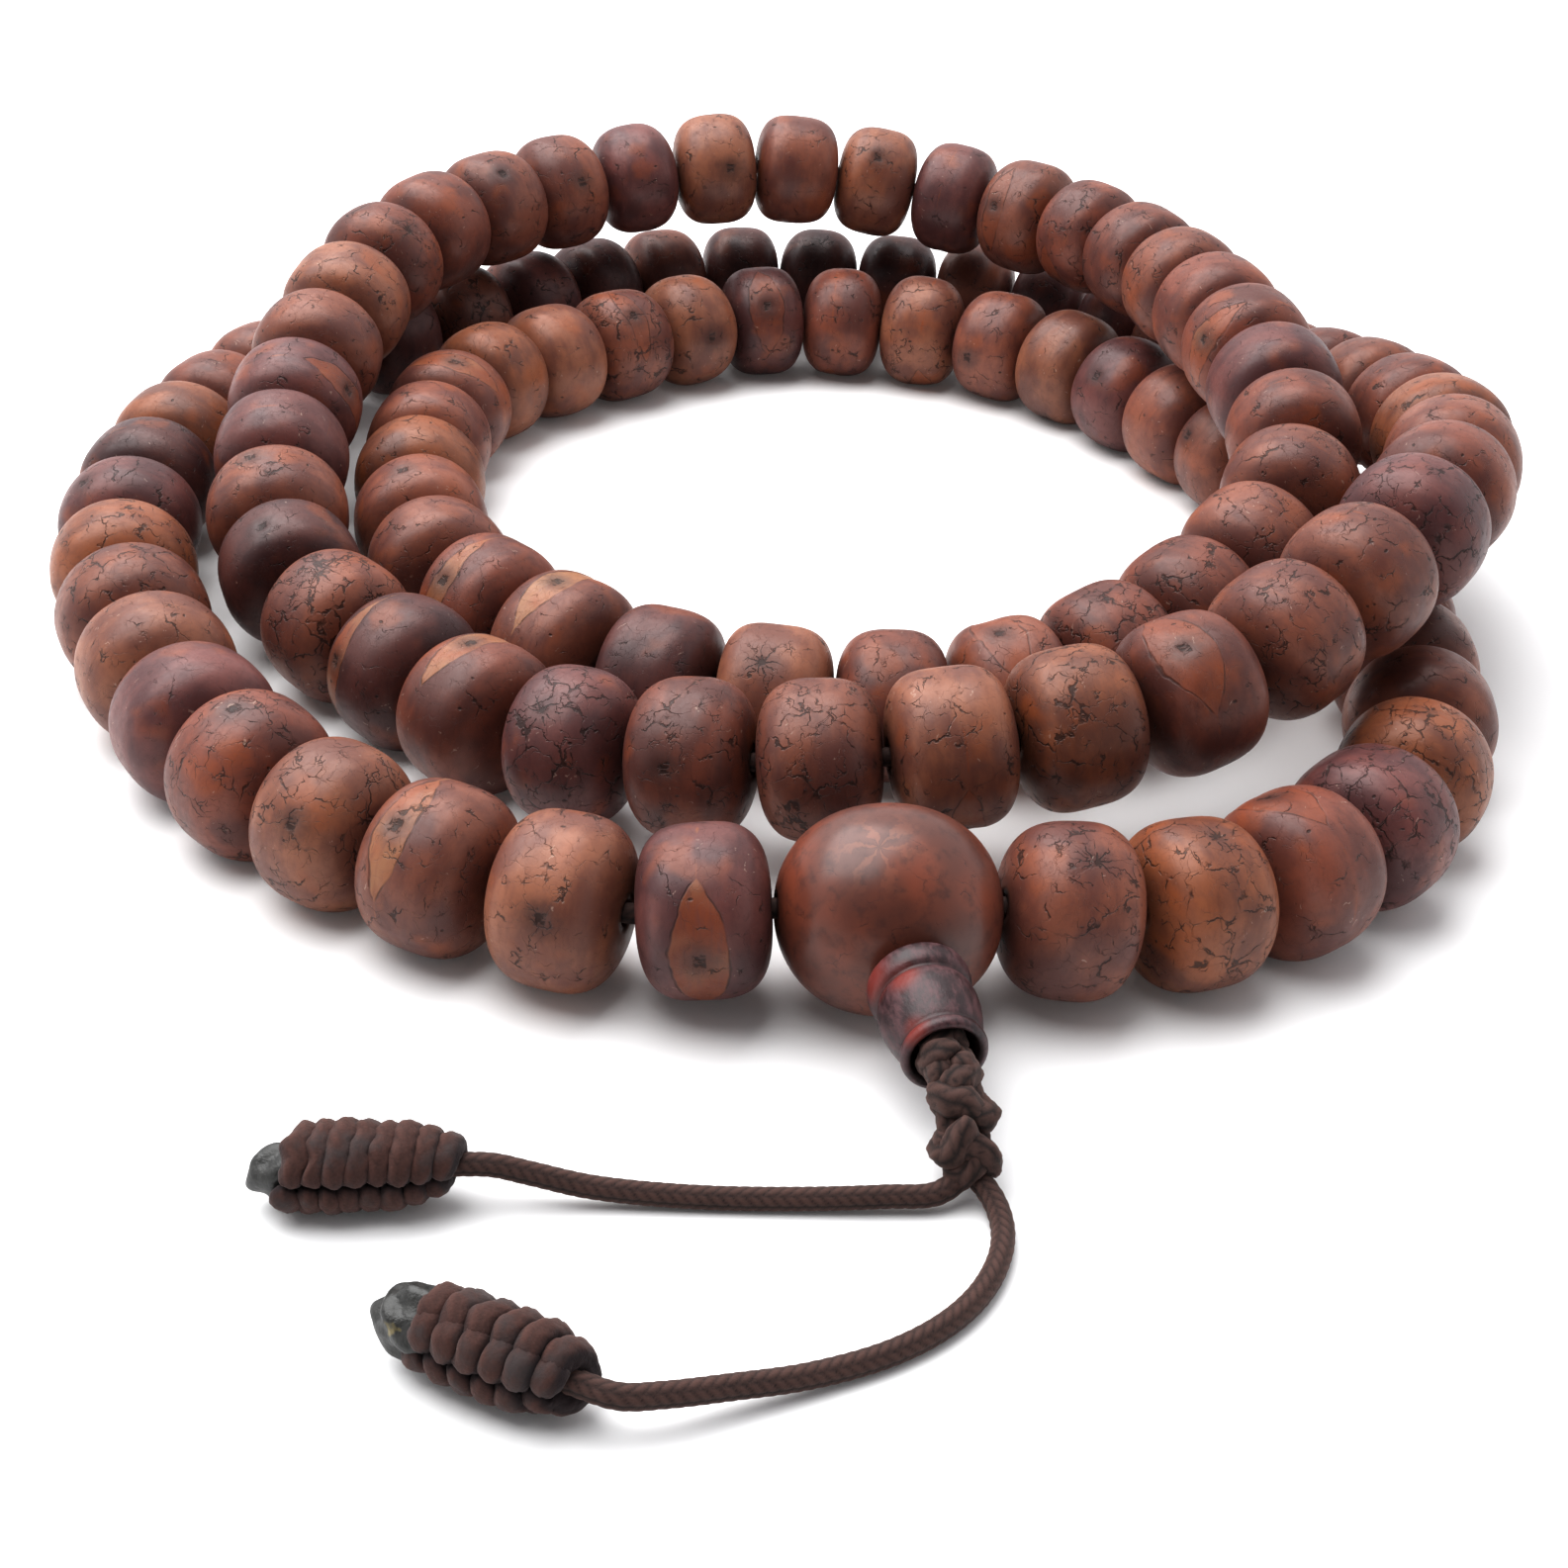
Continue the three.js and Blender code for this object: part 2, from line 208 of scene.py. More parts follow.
def add_mesh(name, verts, faces, material, attributes=()):
    """A smooth-shaded object from arrays, with named per-vertex values."""
    mesh = bpy.data.meshes.new(name)
    faces = faces if isinstance(faces, list) else faces.tolist()
    mesh.from_pydata(np.asarray(verts).tolist(), [], faces)
    mesh.polygons.foreach_set("use_smooth", [True] * len(mesh.polygons))
    for key, values in dict(attributes).items():
        values = np.asarray(values, np.float32)
        kind, field = ("FLOAT_VECTOR", "vector") if values.ndim == 2 else ("FLOAT", "value")
        mesh.attributes.new(key, kind, "POINT").data.foreach_set(field, values.ravel())
    mesh.materials.append(material)
    mesh.update()
    made = bpy.data.objects.new(name, mesh)
    bpy.context.scene.collection.objects.link(made)
    return made


def ring_faces(rings, sides, closed=False):
    """Quads between rings of vertices; closed joins the last ring to the first."""
    ring = np.arange(rings if closed else rings - 1)[:, None] * sides
    side = np.arange(sides)[None]
    after = (side + 1) % sides
    above = (ring + sides) % (rings * sides)
    quads = np.stack([ring + side, ring + after, above + after, above + side], axis=2)
    return quads.reshape(-1, 4)


def swept_frames(line):
    """Tangent, and two directions across that turn as little as they can."""
    tangent = np.gradient(line, axis=0)
    tangent /= np.linalg.norm(tangent, axis=1)[:, None]
    start = np.cross(tangent[0], (0, 0, 1))
    if np.linalg.norm(start) < 0.1:
        start = np.cross(tangent[0], (1, 0, 0))
    across = [start / np.linalg.norm(start)]
    for direction in tangent[1:]:
        turned = across[-1] - direction * (across[-1] @ direction)
        across.append(turned / np.linalg.norm(turned))
    across = np.array(across)
    return tangent, across, np.cross(across, tangent)


BRAID_COLUMNS = 6
BRAID_PITCH = 0.62 * MM
BRAID_RELIEF = 0.085        # of the cord's radius


def braid(angle, along):
    """Height, 0 to 1, of a plaited cord's strands: columns of slanted ovals."""
    column = np.floor(angle / (2 * np.pi) * BRAID_COLUMNS)
    across = angle / (2 * np.pi) * BRAID_COLUMNS - column - 0.5
    lean = np.where(column % 2 == 0, 0.55, -0.55)
    shift = np.where(column % 2 == 0, 0.0, 0.5)
    oval = np.abs(np.cos(np.pi * (along / BRAID_PITCH + lean * 2 * across + shift)))
    return np.sqrt(oval * np.clip(np.cos(np.pi * across), 0, 1))


def braided_tube(line, radius, sides=32, step=0.085 * MM):
    """Vertices, faces and values of a plaited cord along line, with rounded ends."""
    line = evenly(np.asarray(line, float), step)
    along = length_along(line)
    _, across, over = swept_frames(line)
    angle = np.arange(sides) * 2 * np.pi / sides
    height = braid(angle[None, :] * np.ones((len(line), 1)), along[:, None])
    size = radius * (1 - BRAID_RELIEF + BRAID_RELIEF * 1.25 * height)
    end = np.minimum(along, along[-1] - along) / radius
    size = size * np.sqrt(np.clip(1 - np.clip(1 - end - 0.08, 0, 1) ** 2, 0.02, 1))[:, None]
    cosine, sine = np.cos(angle)[None, :, None], np.sin(angle)[None, :, None]
    circle = cosine * across[:, None] + sine * over[:, None]
    verts = (line[:, None] + circle * size[:, :, None]).reshape(-1, 3)
    faces = ring_faces(len(line), sides).tolist()
    faces.append(list(range(sides))[::-1])
    faces.append(list(range((len(line) - 1) * sides, len(line) * sides)))
    values = {"braid": height.ravel(), "along": np.repeat(along / MM, sides)}
    return verts, faces, values


def joined(parts):
    """Several (vertices, faces, values) as one."""
    verts, faces, values, count = [], [], {}, 0
    for part_verts, part_faces, part_values in parts:
        verts.append(part_verts)
        faces += [[corner + count for corner in face] for face in part_faces]
        for key, value in part_values.items():
            values.setdefault(key, []).append(value)
        count += len(part_verts)
    return np.vstack(verts), faces, {key: np.concatenate(value) for key, value in values.items()}


# ---- the tails' routes, as in the CAD but for the front end knot's direction ---

CORD_R = 0.0006
CORD_FLOOR = 0.00062
END_KNOT_R = 0.0023
END_KNOT_LENGTH = 0.010
END_KNOT_FLOOR = END_KNOT_R * math.cos(math.pi / 10) + 0.00005
CORD_IN_KNOT = 0.0087

IN_THE_KNOT = (0.0113, -0.0672, 0.0015)      # under the lower knot, where both tails begin

LEFT_TAIL = [
    (0.0097, -0.0685, 0.0009), (0.0071, -0.0689, 0.0008), (0.0025, -0.0693, CORD_FLOOR),
    (-0.0023, -0.0696, CORD_FLOOR), (-0.0072, -0.0698, 0.001), (-0.0102, -0.0699, 0.0017),
    (-0.012, -0.07, 0.00215), (-0.0137, -0.0702, END_KNOT_FLOOR),
]
LEFT_END_DIRECTION = Vector((-0.99, -0.12, 0)).normalized()
FRONT_TAIL = [
    (0.0124, -0.0687, 0.0009), (0.0128, -0.0703, CORD_FLOOR), (0.0126, -0.0724, CORD_FLOOR),
    (0.0116, -0.075, CORD_FLOOR), (0.0099, -0.0773, CORD_FLOOR), (0.0073, -0.0794, CORD_FLOOR),
    (0.0037, -0.0813, 0.0008), (0.0002, -0.0828, 0.0013), (-0.0026, -0.084, 0.0018),
    (-0.0045, -0.0846, 0.00215), (-0.0063, -0.0841, END_KNOT_FLOOR),
]
# 4 degrees further back than in the CAD
FRONT_END_DIRECTION = Vector((-0.92, 0.39, 0)).normalized()


def tail_line(route, direction):
    """The cord's middle line: out of the lower knot, its route, then the end knot's core."""
    mouth = Vector(route[-1])
    inside = [mouth + direction * CORD_IN_KNOT * share for share in (0.5, 1.0)]
    return catmull_rom([IN_THE_KNOT, *route, *[tuple(p) for p in inside]], closed=False)


# ---- cord material -----------------------------------------------------------

# the cord's tone in the shade of its braid grooves and lit on its strand tops: painted shade and
# painted highlight
CORD_SHADED = rgb(0.012, 0.0065, 0.006)
CORD_LIT = rgb(0.088, 0.045, 0.037)


def cord_material(name, dark=CORD_SHADED, light=CORD_LIT):
    shader = Shader(name)
    place = shader.node("ShaderNodeTexCoord").outputs["Object"]
    height = shader.attribute("braid", "Fac")
    fibre = shader.noise(place, 9000.0, detail=3.0, roughness=0.7)
    patch = shader.noise(place, 500.0, detail=2.0)
    # brightness follows the braid's height, plus fibre and patch noise: painted shade in the grooves, a
    # painted highlight on the strand tops
    lit = shader.math("MULTIPLY_ADD", fibre, 0.5, -0.25)
    lit = shader.math("ADD", height, lit)
    lit = shader.math("MULTIPLY_ADD", patch, 0.4, shader.math("SUBTRACT", lit, 0.2), clamp=True)
    colour = shader.mix(lit, dark, light)
    normal = shader.bump(fibre, 0.03 * MM)
    return shader.finish(
        Base_Color=colour, Roughness=0.78, Specular_IOR_Level=0.35, Normal=normal,
        Sheen_Weight=0.25, Sheen_Roughness=0.5, Sheen_Tint=rgb(0.55, 0.42, 0.38))


CORD_MATERIAL = cord_material("cord_braid")


def make_tail(side, route, direction, exit_point):
    line = tail_line(route, direction)
    verts, faces, values = braided_tube(line, CORD_R)
    tail = add_mesh(f"{side}_tail", verts, faces, CORD_MATERIAL, values)
    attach(tail, f"{side}_tail")
    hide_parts(f"{side}_tail_cord")
    return tail, line, exit_point


LEFT = make_tail("left", LEFT_TAIL, LEFT_END_DIRECTION, LEFT_TAIL[0])
FRONT = make_tail("front", FRONT_TAIL, FRONT_END_DIRECTION, FRONT_TAIL[0])

# ---- end knots -----------------------------------------------------------------

TIP_COLOUR = rgb(0.012, 0.012, 0.0115)


def melted_material():
    """The cord's end, sealed with heat: black, glossy, with a burnt yellow fleck."""
    shader = Shader("melted_cord")
    place = shader.node("ShaderNodeTexCoord").outputs["Object"]
    lump = shader.noise(place, 1300.0, detail=4.0, roughness=0.65)
    fleck = shader.ramp(shader.noise(place, 800.0, detail=2.0), 0.66, 0.74)
    colour = shader.mix(lump, TIP_COLOUR, rgb(0.055, 0.054, 0.05))
    colour = shader.mix(fleck, colour, rgb(0.2, 0.16, 0.07))
    rough = shader.ramp(lump, 0.2, 0.8, 0.28, 0.55)
    return shader.finish(
        Base_Color=colour, Roughness=rough, Specular_IOR_Level=0.55,
        Normal=shader.bump(lump, 0.12 * MM))


MELTED_MATERIAL = melted_material()


def end_knot_material():
    """The same cord, pulled tight, with a dusty grey bloom in patches and painted shade between its
    wraps.
    """
    shader = Shader("cord_end_knot")
    place = shader.node("ShaderNodeTexCoord").outputs["Object"]
    height = shader.attribute("braid", "Fac")
    fibre = shader.noise(place, 7000.0, detail=3.0, roughness=0.7)
    patch = shader.noise(place, 420.0, detail=3.0, roughness=0.6)
    rise = shader.attribute("rise", "Fac")            # from the knot's axis, 1 at its outside
    # brightness follows the braid's height: painted shade between the strands, a painted highlight on
    # their tops
    lit = shader.math("MULTIPLY_ADD", fibre, 0.6, 0.1)
    lit = shader.math("MULTIPLY_ADD", height, 0.35, lit, clamp=True)
    colour = shader.mix(lit, CORD_SHADED, rgb(0.11, 0.048, 0.038))
    colour = shader.mix(shader.ramp(patch, 0.45, 0.66, 0.0, 0.75), colour, rgb(0.05, 0.044, 0.045))
    # painted shade in the crevices between the wraps, darker the nearer the knot's axis
    colour = shader.mix(shader.ramp(rise, 0.72, 0.97, 0.85, 0.0), colour, rgb(0.009, 0.006, 0.009))
    return shader.finish(
        Base_Color=colour, Roughness=0.8, Specular_IOR_Level=0.3, Normal=shader.bump(fibre, 0.04 * MM),
        Sheen_Weight=0.3, Sheen_Roughness=0.5, Sheen_Tint=rgb(0.5, 0.42, 0.4))


END_KNOT_MATERIAL = end_knot_material()


def end_knot_wrap(centre, direction, radius, strand, lean, shift, rows):
    """One turn of cord round the knot; it dips and steps along at each row line."""
    angle = np.linspace(0, 2 * np.pi, 97)
    side = Vector((0, 0, 1)).cross(direction).normalized()
    top = direction.cross(side)
    step, dip = np.ones(len(angle)), np.zeros(len(angle))
    for row in rows:
        step *= np.tanh(5.0 * np.sin((angle - math.radians(row)) / 2))
        away = np.angle(np.exp(1j * (angle - math.radians(row))))
        dip += np.exp(-((away / 0.24) ** 2))
    out = radius * (1 - 0.16 * dip)
    swing = step * shift + lean * np.cos(angle)
    ring = (
        np.array(centre)[None]
        + (np.cos(angle) * out)[:, None] * np.array(side)[None]
        + (np.sin(angle) * out)[:, None] * np.array(top)[None]
        + swing[:, None] * np.array(direction)[None]
    )
    return braided_tube(ring, strand, sides=28, step=0.1 * MM)


def make_end_knot(
        side, mouth, direction, wraps, fatness, rows, shape, tip_shape, tail, line, exit_point, seed):
    """A wound knot on the tail; shape is the swell at the mouth, the middle and the tip."""
    rng = np.random.default_rng(seed)
    tip_length, tip_radius, tip_point, tip_drop = tip_shape
    body_length = END_KNOT_LENGTH - 0.72 * tip_length
    pitch = body_length / wraps
    strand = pitch * fatness
    parts = []
    for i in range(wraps):
        share = (i + 0.5) / wraps
        swell = np.interp(share, (0, 0.3, 0.75, 1), shape) * (1 + rng.uniform(-0.04, 0.04))
        centre = mouth + direction * (0.2 * MM + pitch * (i + 0.5))
        lean = rng.uniform(0.3, 0.6) * strand
        size = strand * rng.uniform(0.9, 1.1)
        radius = END_KNOT_R * swell - size
        wrap = end_knot_wrap(centre, direction, radius, size, lean, 0.2 * pitch, rows)
        away = np.cross(wrap[0] - np.array(mouth), np.array(direction))
        # rise, low near the knot's axis, sets where the painted shade falls
        wrap[2]["rise"] = np.linalg.norm(away, axis=1) / (radius + size)
        parts.append(wrap)
    reaches = (0.5 * MM, body_length * 0.5, body_length)
    core = catmull_rom([mouth + direction * reach for reach in reaches], False)
    parts.append(braided_tube(core, END_KNOT_R * 0.6, sides=20, step=0.25 * MM))
    parts[-1][2]["rise"] = np.zeros(len(parts[-1][0]))
    verts, faces, values = joined(parts)
    verts += (verts - np.array(mouth)) * lumpy(verts, 1.6 * MM, 0.02, seed)[:, None]
    verts[:, 2] = np.maximum(verts[:, 2], 0.02 * MM)
    knot = add_mesh(f"{side}_end_knot_wraps", verts, faces, END_KNOT_MATERIAL, values)
    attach(knot, f"{side}_tail")
    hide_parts(f"{side}_end_knot")
    tip = make_melted_tip(side, mouth, direction, tip_length, tip_radius, tip_point, tip_drop, seed)


def lumpy(points, size, amount, seed):
    """Points moved by a smooth three-dimensional wave pattern."""
    rng = np.random.default_rng(seed)
    moved = np.zeros(len(points))
    for _ in range(7):
        direction = rng.normal(size=3)
        direction *= 2 * np.pi / (size * np.linalg.norm(direction) * rng.uniform(0.7, 1.5))
        moved += np.sin(points @ direction + rng.uniform(0, 2 * np.pi))
    return moved * amount / 3.5


def make_melted_tip(side, mouth, direction, length, radius, point, drop, seed):
    """A lathed blob with a lumpy skin beyond the last wrap; point above 0 draws it out."""
    rings, sides = 36, 48
    share = np.linspace(0, np.pi, rings)
    angle = np.arange(sides) * 2 * np.pi / sides
    across = Vector((0, 0, 1)).cross(direction).normalized()
    top = direction.cross(across)
    middle = np.array(mouth + direction * (END_KNOT_LENGTH - length * 0.5)) - (0, 0, drop)
    along = -np.cos(share) * length * 0.5
    out = np.sin(share) ** 0.75 * radius * (1 - point * np.clip(along / length + 0.3, 0, 1)) + 1e-6
    circle = np.cos(angle)[:, None] * np.array(across) + np.sin(angle)[:, None] * np.array(top)
    verts = middle + along[:, None, None] * np.array(direction) + out[:, None, None] * circle[None]
    verts = verts.reshape(-1, 3)
    verts += (verts - middle) * lumpy(verts, 1.3 * MM, 0.16, seed)[:, None]
    faces = ring_faces(rings, sides).tolist()
    faces += [list(range(sides))[::-1], list(range((rings - 1) * sides, rings * sides))]
    tip = add_mesh(f"{side}_end_knot_tip", verts, faces, MELTED_MATERIAL)
    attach(tip, f"{side}_tail")
    return tip


# rows are degrees up from level on the near side; the melted tip has length, radius, point, drop
make_end_knot(
    "left", Vector(LEFT_TAIL[-1]), LEFT_END_DIRECTION, 8, 0.74, (10, 195), (0.66, 0.96, 1.0, 0.9),
    (3.0 * MM, 1.5 * MM, 0.4, 0.3 * MM), *LEFT, seed=3)
make_end_knot(
    "front", Vector(FRONT_TAIL[-1]), FRONT_END_DIRECTION, 6, 0.68, (62, 8, 300, 190),
    (0.74, 0.98, 1.0, 0.86), (3.8 * MM, 1.75 * MM, 0.2, 0.0), *FRONT, seed=8)

# ---- the loop's middle line, as in the CAD -------------------------------------

BEAD_COUNT = 108
BEAD_R = 0.005
GURU_REACH = 0.00635
RUN_LENGTH = 6
RUN_STARTS = (5, 11, 17, 23, 29, 47, 67, 73, 79, 85, 91, 97)
FLOOR = BEAD_R * math.cos(math.pi / 10)

ROUTE = [
    (0.007, -0.0505, 0.0062), (-0.0085, -0.0515, 0.005), (-0.029, -0.041, FLOOR),
    (-0.042, -0.0225, FLOOR), (-0.048, -0.0045, FLOOR), (-0.048, 0.015, FLOOR),
    (-0.0415, 0.0345, FLOOR), (-0.029, 0.0475, FLOOR), (-0.0125, 0.062, FLOOR),
    (0.0125, 0.063, FLOOR), (0.0285, 0.058, 0.0049), (0.0375, 0.0465, 0.0049),
    # second turn
    (0.0445, 0.029, 0.0095), (0.0485, 0.004, 0.014), (0.041, -0.0165, 0.0155),
    (0.034, -0.025, 0.0135), (0.0255, -0.032, 0.0105), (0.004, -0.0375, 0.0075),
    (-0.016, -0.0325, 0.005), (-0.023, -0.0255, FLOOR), (-0.0335, -0.015, 0.0055),
    (-0.037, -0.0045, 0.007), (-0.0385, 0.005, 0.0085), (-0.0385, 0.0175, 0.011),
    (-0.0345, 0.037, 0.0145), (-0.021, 0.054, 0.0155), (-0.0035, 0.0595, 0.017),
    (0.0135, 0.0595, 0.015), (0.0275, 0.0475, 0.015), (0.036, 0.0185, 0.015),
    # third turn
    (0.0365, -0.002, 0.0125), (0.03, -0.0125, 0.009), (0.0145, -0.0245, 0.0055),
    (-0.0075, -0.024, FLOOR), (-0.0155, -0.0185, FLOOR), (-0.024, -0.01, FLOOR),
    (-0.029, 0.0095, FLOOR), (-0.0275, 0.029, FLOOR), (-0.0175, 0.0405, FLOOR),
    (-0.0035, 0.0515, FLOOR), (0.019, 0.048, FLOOR), (0.0335, 0.03, FLOOR),
    # and out to the guru
    (0.042, 0.0085, FLOOR), (0.043, -0.01, FLOOR), (0.0415, -0.028, FLOOR), (0.034, -0.04, 0.0049),
    (0.0235, -0.0475, FLOOR),
]

LOOP = catmull_rom(ROUTE, closed=True)
LOOP_LENGTH = length_along(LOOP)[-1]
BEAD_PITCH = (LOOP_LENGTH - 2 * GURU_REACH) / BEAD_COUNT
GAPS = at_lengths(LOOP, GURU_REACH + np.arange(BEAD_COUNT + 1) * BEAD_PITCH)


def frame_between(start, end):
    """4x4 with local Y from start to end, Z as near up as that allows, half way between."""
    along = Vector(end - start).normalized()
    side = along.cross(Vector((0, 0, 1))).normalized()
    top = side.cross(along)
    turn = Matrix((side, along, top)).transposed().to_4x4()
    return Matrix.Translation(Vector((start + end) / 2)) @ turn


def placed(verts, seat):
    return verts @ np.array(seat.to_3x3()).T + np.array(seat.translation)


def node_of(bead):
    """The CAD node that holds a bead."""
    for start in RUN_STARTS:
        if start <= bead < start + RUN_LENGTH:
            return f"beads_{start:03d}_to_{start + RUN_LENGTH - 1:03d}"
    return f"bead_{bead:03d}"


BODY_OF = {n: body for body, nodes in record["behaviour"]["bodies"].items() for n in nodes}

# ---- seed material -------------------------------------------------------------

CRACK_COLOUR = rgb(0.022, 0.011, 0.009)
LENS_COLOUR = rgb(0.34, 0.160, 0.080)
LENS_GLOW = rgb(0.27, 0.066, 0.018)
LENS_HALF_LENGTH = 4.6      # mm round the seed


def seed_material():
    shader = Shader("bodhi_seed")
    place = shader.attribute("seed_place", "Vector")      # mm, with its own offset for each seed
    mark_place = shader.attribute("mark_place", "Vector")   # mm round and along from the seed's mark
    light = shader.attribute("light_tone", "Color")
    deep = shader.attribute("deep_tone", "Color")
    crackle = shader.attribute("crackle", "Fac")          # how widely the skin is cracked, 0 to 1
    lens_width = shader.attribute("lens", "Fac")          # half the lens's width in mm, 0 for none
    paleness = shader.attribute("paleness", "Fac")        # how far the lens stands out, 0 to 1
    star = shader.attribute("star", "Fac")                # 1 for a star of cracks at the mark
    pitted = shader.attribute("pitted", "Fac")            # 1 for a dark pit at the mark

    zones = shader.noise(place, 0.27, detail=2.0, roughness=0.45)
    streaks = shader.noise(shader.scaled(place, 1.0, 2.6, 1.0), 0.5, detail=4.0, roughness=0.6)
    mottle = shader.noise(place, 1.9, detail=4.0, roughness=0.65)
    share = shader.math("MULTIPLY_ADD", streaks, 0.6, shader.math("MULTIPLY_ADD", zones, 1.2, -0.4))
    colour = shader.mix(shader.ramp(share, 0.28, 0.72), deep, light)
    elsewhere = shader.vector("ADD", place, (50.0, 0.0, 0.0))
    glow = shader.ramp(shader.noise(elsewhere, 0.3), 0.55, 0.72, 0.0, 0.6)
    colour = shader.mix(glow, colour, shader.mix(0.55, light, rgb(0.34, 0.082, 0.014)))
    colour = shader.mix(shader.ramp(mottle, 0.4, 0.75, 0.0, 0.3), colour, deep)

    # the pale lens at the mark, with its thin outline
    parts = shader.node("ShaderNodeSeparateXYZ", {"Vector": mark_place})
    wobble = shader.drift(place, 0.5, 0.8, -0.4)
    around = shader.math("DIVIDE", parts.outputs[0], LENS_HALF_LENGTH)
    width = shader.math("SUBTRACT", 1.0, shader.times(around, around), clamp=True)
    reach = shader.math("ADD", shader.math("ABSOLUTE", parts.outputs[1]), wobble)
    inside = shader.math("SUBTRACT", shader.times(width, lens_width), reach)
    has_lens = shader.math("GREATER_THAN", lens_width, 0.1)
    lens = shader.times(shader.ramp(inside, -0.04, 0.08), has_lens)
    pale = shader.math("SUBTRACT", shader.noise(place, 0.35, detail=2.0), 0.6)
    pale = shader.ramp(shader.math("MULTIPLY_ADD", paleness, 0.8, pale), 0.3, 0.7)
    grain = shader.noise(shader.scaled(mark_place, 0.5, 3.0, 1.0), 1.2, detail=3.0)
    lens_tone = shader.mix(pale, LENS_GLOW, LENS_COLOUR)
    lens_tone = shader.mix(shader.ramp(grain, 0.45, 0.75, 0.0, 0.5), lens_tone, light)
    colour = shader.mix(shader.times(lens, paleness), colour, lens_tone)
    rim = shader.ramp(shader.math("ABSOLUTE", inside), 0.02, 0.1, 1.0, 0.0)
    rim = shader.times(shader.times(rim, has_lens), shader.ramp(width, 0.0, 0.15))
    rim = shader.times(rim, shader.ramp(shader.noise(place, 0.9), 0.35, 0.55, 0.2, 0.85))

    # the pit and the stain round it
    from_mark = shader.distance(mark_place)
    ragged = shader.drift(place, 2.6, 1.3, -0.65, detail=4.0, roughness=0.7)
    pit_edge = shader.math("ADD", from_mark, ragged)
    beside = shader.times(shader.math("ABSOLUTE", parts.outputs[1]), 1.2)
    square = shader.math("MAXIMUM", shader.math("ABSOLUTE", parts.outputs[0]), beside)
    square = shader.math("MULTIPLY_ADD", ragged, 0.62, square)
    dashes = shader.noise(shader.scaled(place, 4.0, 1.0, 4.0), 1.3, detail=1.0)
    pit = shader.ramp(square, 0.28, 0.46, 1.0, 0.0)
    pit = shader.times(pit, shader.ramp(dashes, 0.4, 0.5, 0.35, 1.0))
    pit = shader.times(pit, pitted)
    stain = shader.times(shader.ramp(pit_edge, 0.3, 1.8, 0.6, 0.0), pitted)
    colour = shader.mix(stain, colour, rgb(0.052, 0.028, 0.027))

    # cracks that run out from a star mark
    bend = shader.drift(place, 1.0, 6.0, -3.0, detail=3.0)
    spoke = shader.math("ARCTAN2", parts.outputs[1], parts.outputs[0])
    spoke = shader.math("SINE", shader.math("MULTIPLY_ADD", spoke, 4.5, bend))
    ray = shader.times(shader.math("ABSOLUTE", spoke), from_mark)
    ray_length = shader.drift(place, 0.9, 3.6, 0.3)
    ray_share = shader.math("DIVIDE", from_mark, ray_length)
    ray_width = shader.ramp(ray_share, 0.0, 1.0, 0.26, 0.0)
    rays = shader.ramp(shader.math("SUBTRACT", ray, ray_width), -0.05, 0.04, 1.0, 0.0)
    rays = shader.times(rays, shader.ramp(shader.noise(place, 1.7, detail=1.0), 0.42, 0.5))
    rays = shader.times(rays, star)

    # fine dark cracks: the edges of bent cells, broken up by masks
    bent = shader.vector("ADD", place, shader.scaled(
        shader.noise(place, 1.1, detail=3.0, output="Color"), 1.5, 1.5, 1.5))
    coarse = shader.voronoi(shader.scaled(bent, 1.0, 0.75, 1.0), 0.42, "DISTANCE_TO_EDGE")
    coarse = coarse.outputs["Distance"]
    fine = shader.voronoi(bent, 0.95, "DISTANCE_TO_EDGE").outputs["Distance"]
    spread = shader.math("MULTIPLY_ADD", crackle, 0.2, -0.09)
    where = shader.math("ADD", shader.noise(place, 0.55, detail=2.0), spread)
    where_fine = shader.math("ADD", shader.noise(place, 0.8, detail=1.0), spread)
    coarse_width = shader.ramp(where, 0.45, 0.72, 0.0, 0.036)
    fine_width = shader.ramp(where_fine, 0.53, 0.78, 0.0, 0.042)
    coarse_crack = shader.ramp(shader.math("SUBTRACT", coarse, coarse_width), -0.018, 0.010, 1.0, 0.0)
    fine_crack = shader.ramp(shader.math("SUBTRACT", fine, fine_width), -0.028, 0.014, 1.0, 0.0)
    broken = shader.ramp(shader.noise(place, 1.3, detail=1.0), 0.36, 0.52, 0.2, 1.0)
    crack = shader.times(shader.math("MAXIMUM", coarse_crack, fine_crack), broken)

    # small round pores
    cells = shader.voronoi(shader.scaled(place, 1.0, 0.6, 1.0), 0.9)
    keep = shader.ramp(cells.outputs["Color"], 0.62, 0.64)
    pore = shader.times(shader.ramp(cells.outputs["Distance"], 0.05, 0.12, 1.0, 0.0), keep)
    dark = shader.times(rim, 0.8)
    for other in (crack, pore, pit, rays):
        dark = shader.math("MAXIMUM", dark, other)
    colour = shader.mix(shader.times(dark, 0.8), colour, CRACK_COLOUR)

    # short pale scratches painted as bright glints: painted highlight
    turned = shader.node(
        "ShaderNodeVectorRotate", {"Vector": bent, "Axis": (0.3, 0.5, 0.8), "Angle": 0.9})
    glint_cells = shader.voronoi(shader.scaled(turned.outputs["Vector"], 0.6, 5.0, 2.5), 0.8)
    keep = shader.ramp(glint_cells.outputs["Color"], 0.76, 0.78)
    fleck = shader.times(shader.ramp(glint_cells.outputs["Distance"], 0.1, 0.2, 1.0, 0.0), keep)
    colour = shader.mix(shader.times(fleck, 0.45), colour, rgb(0.5, 0.36, 0.29))

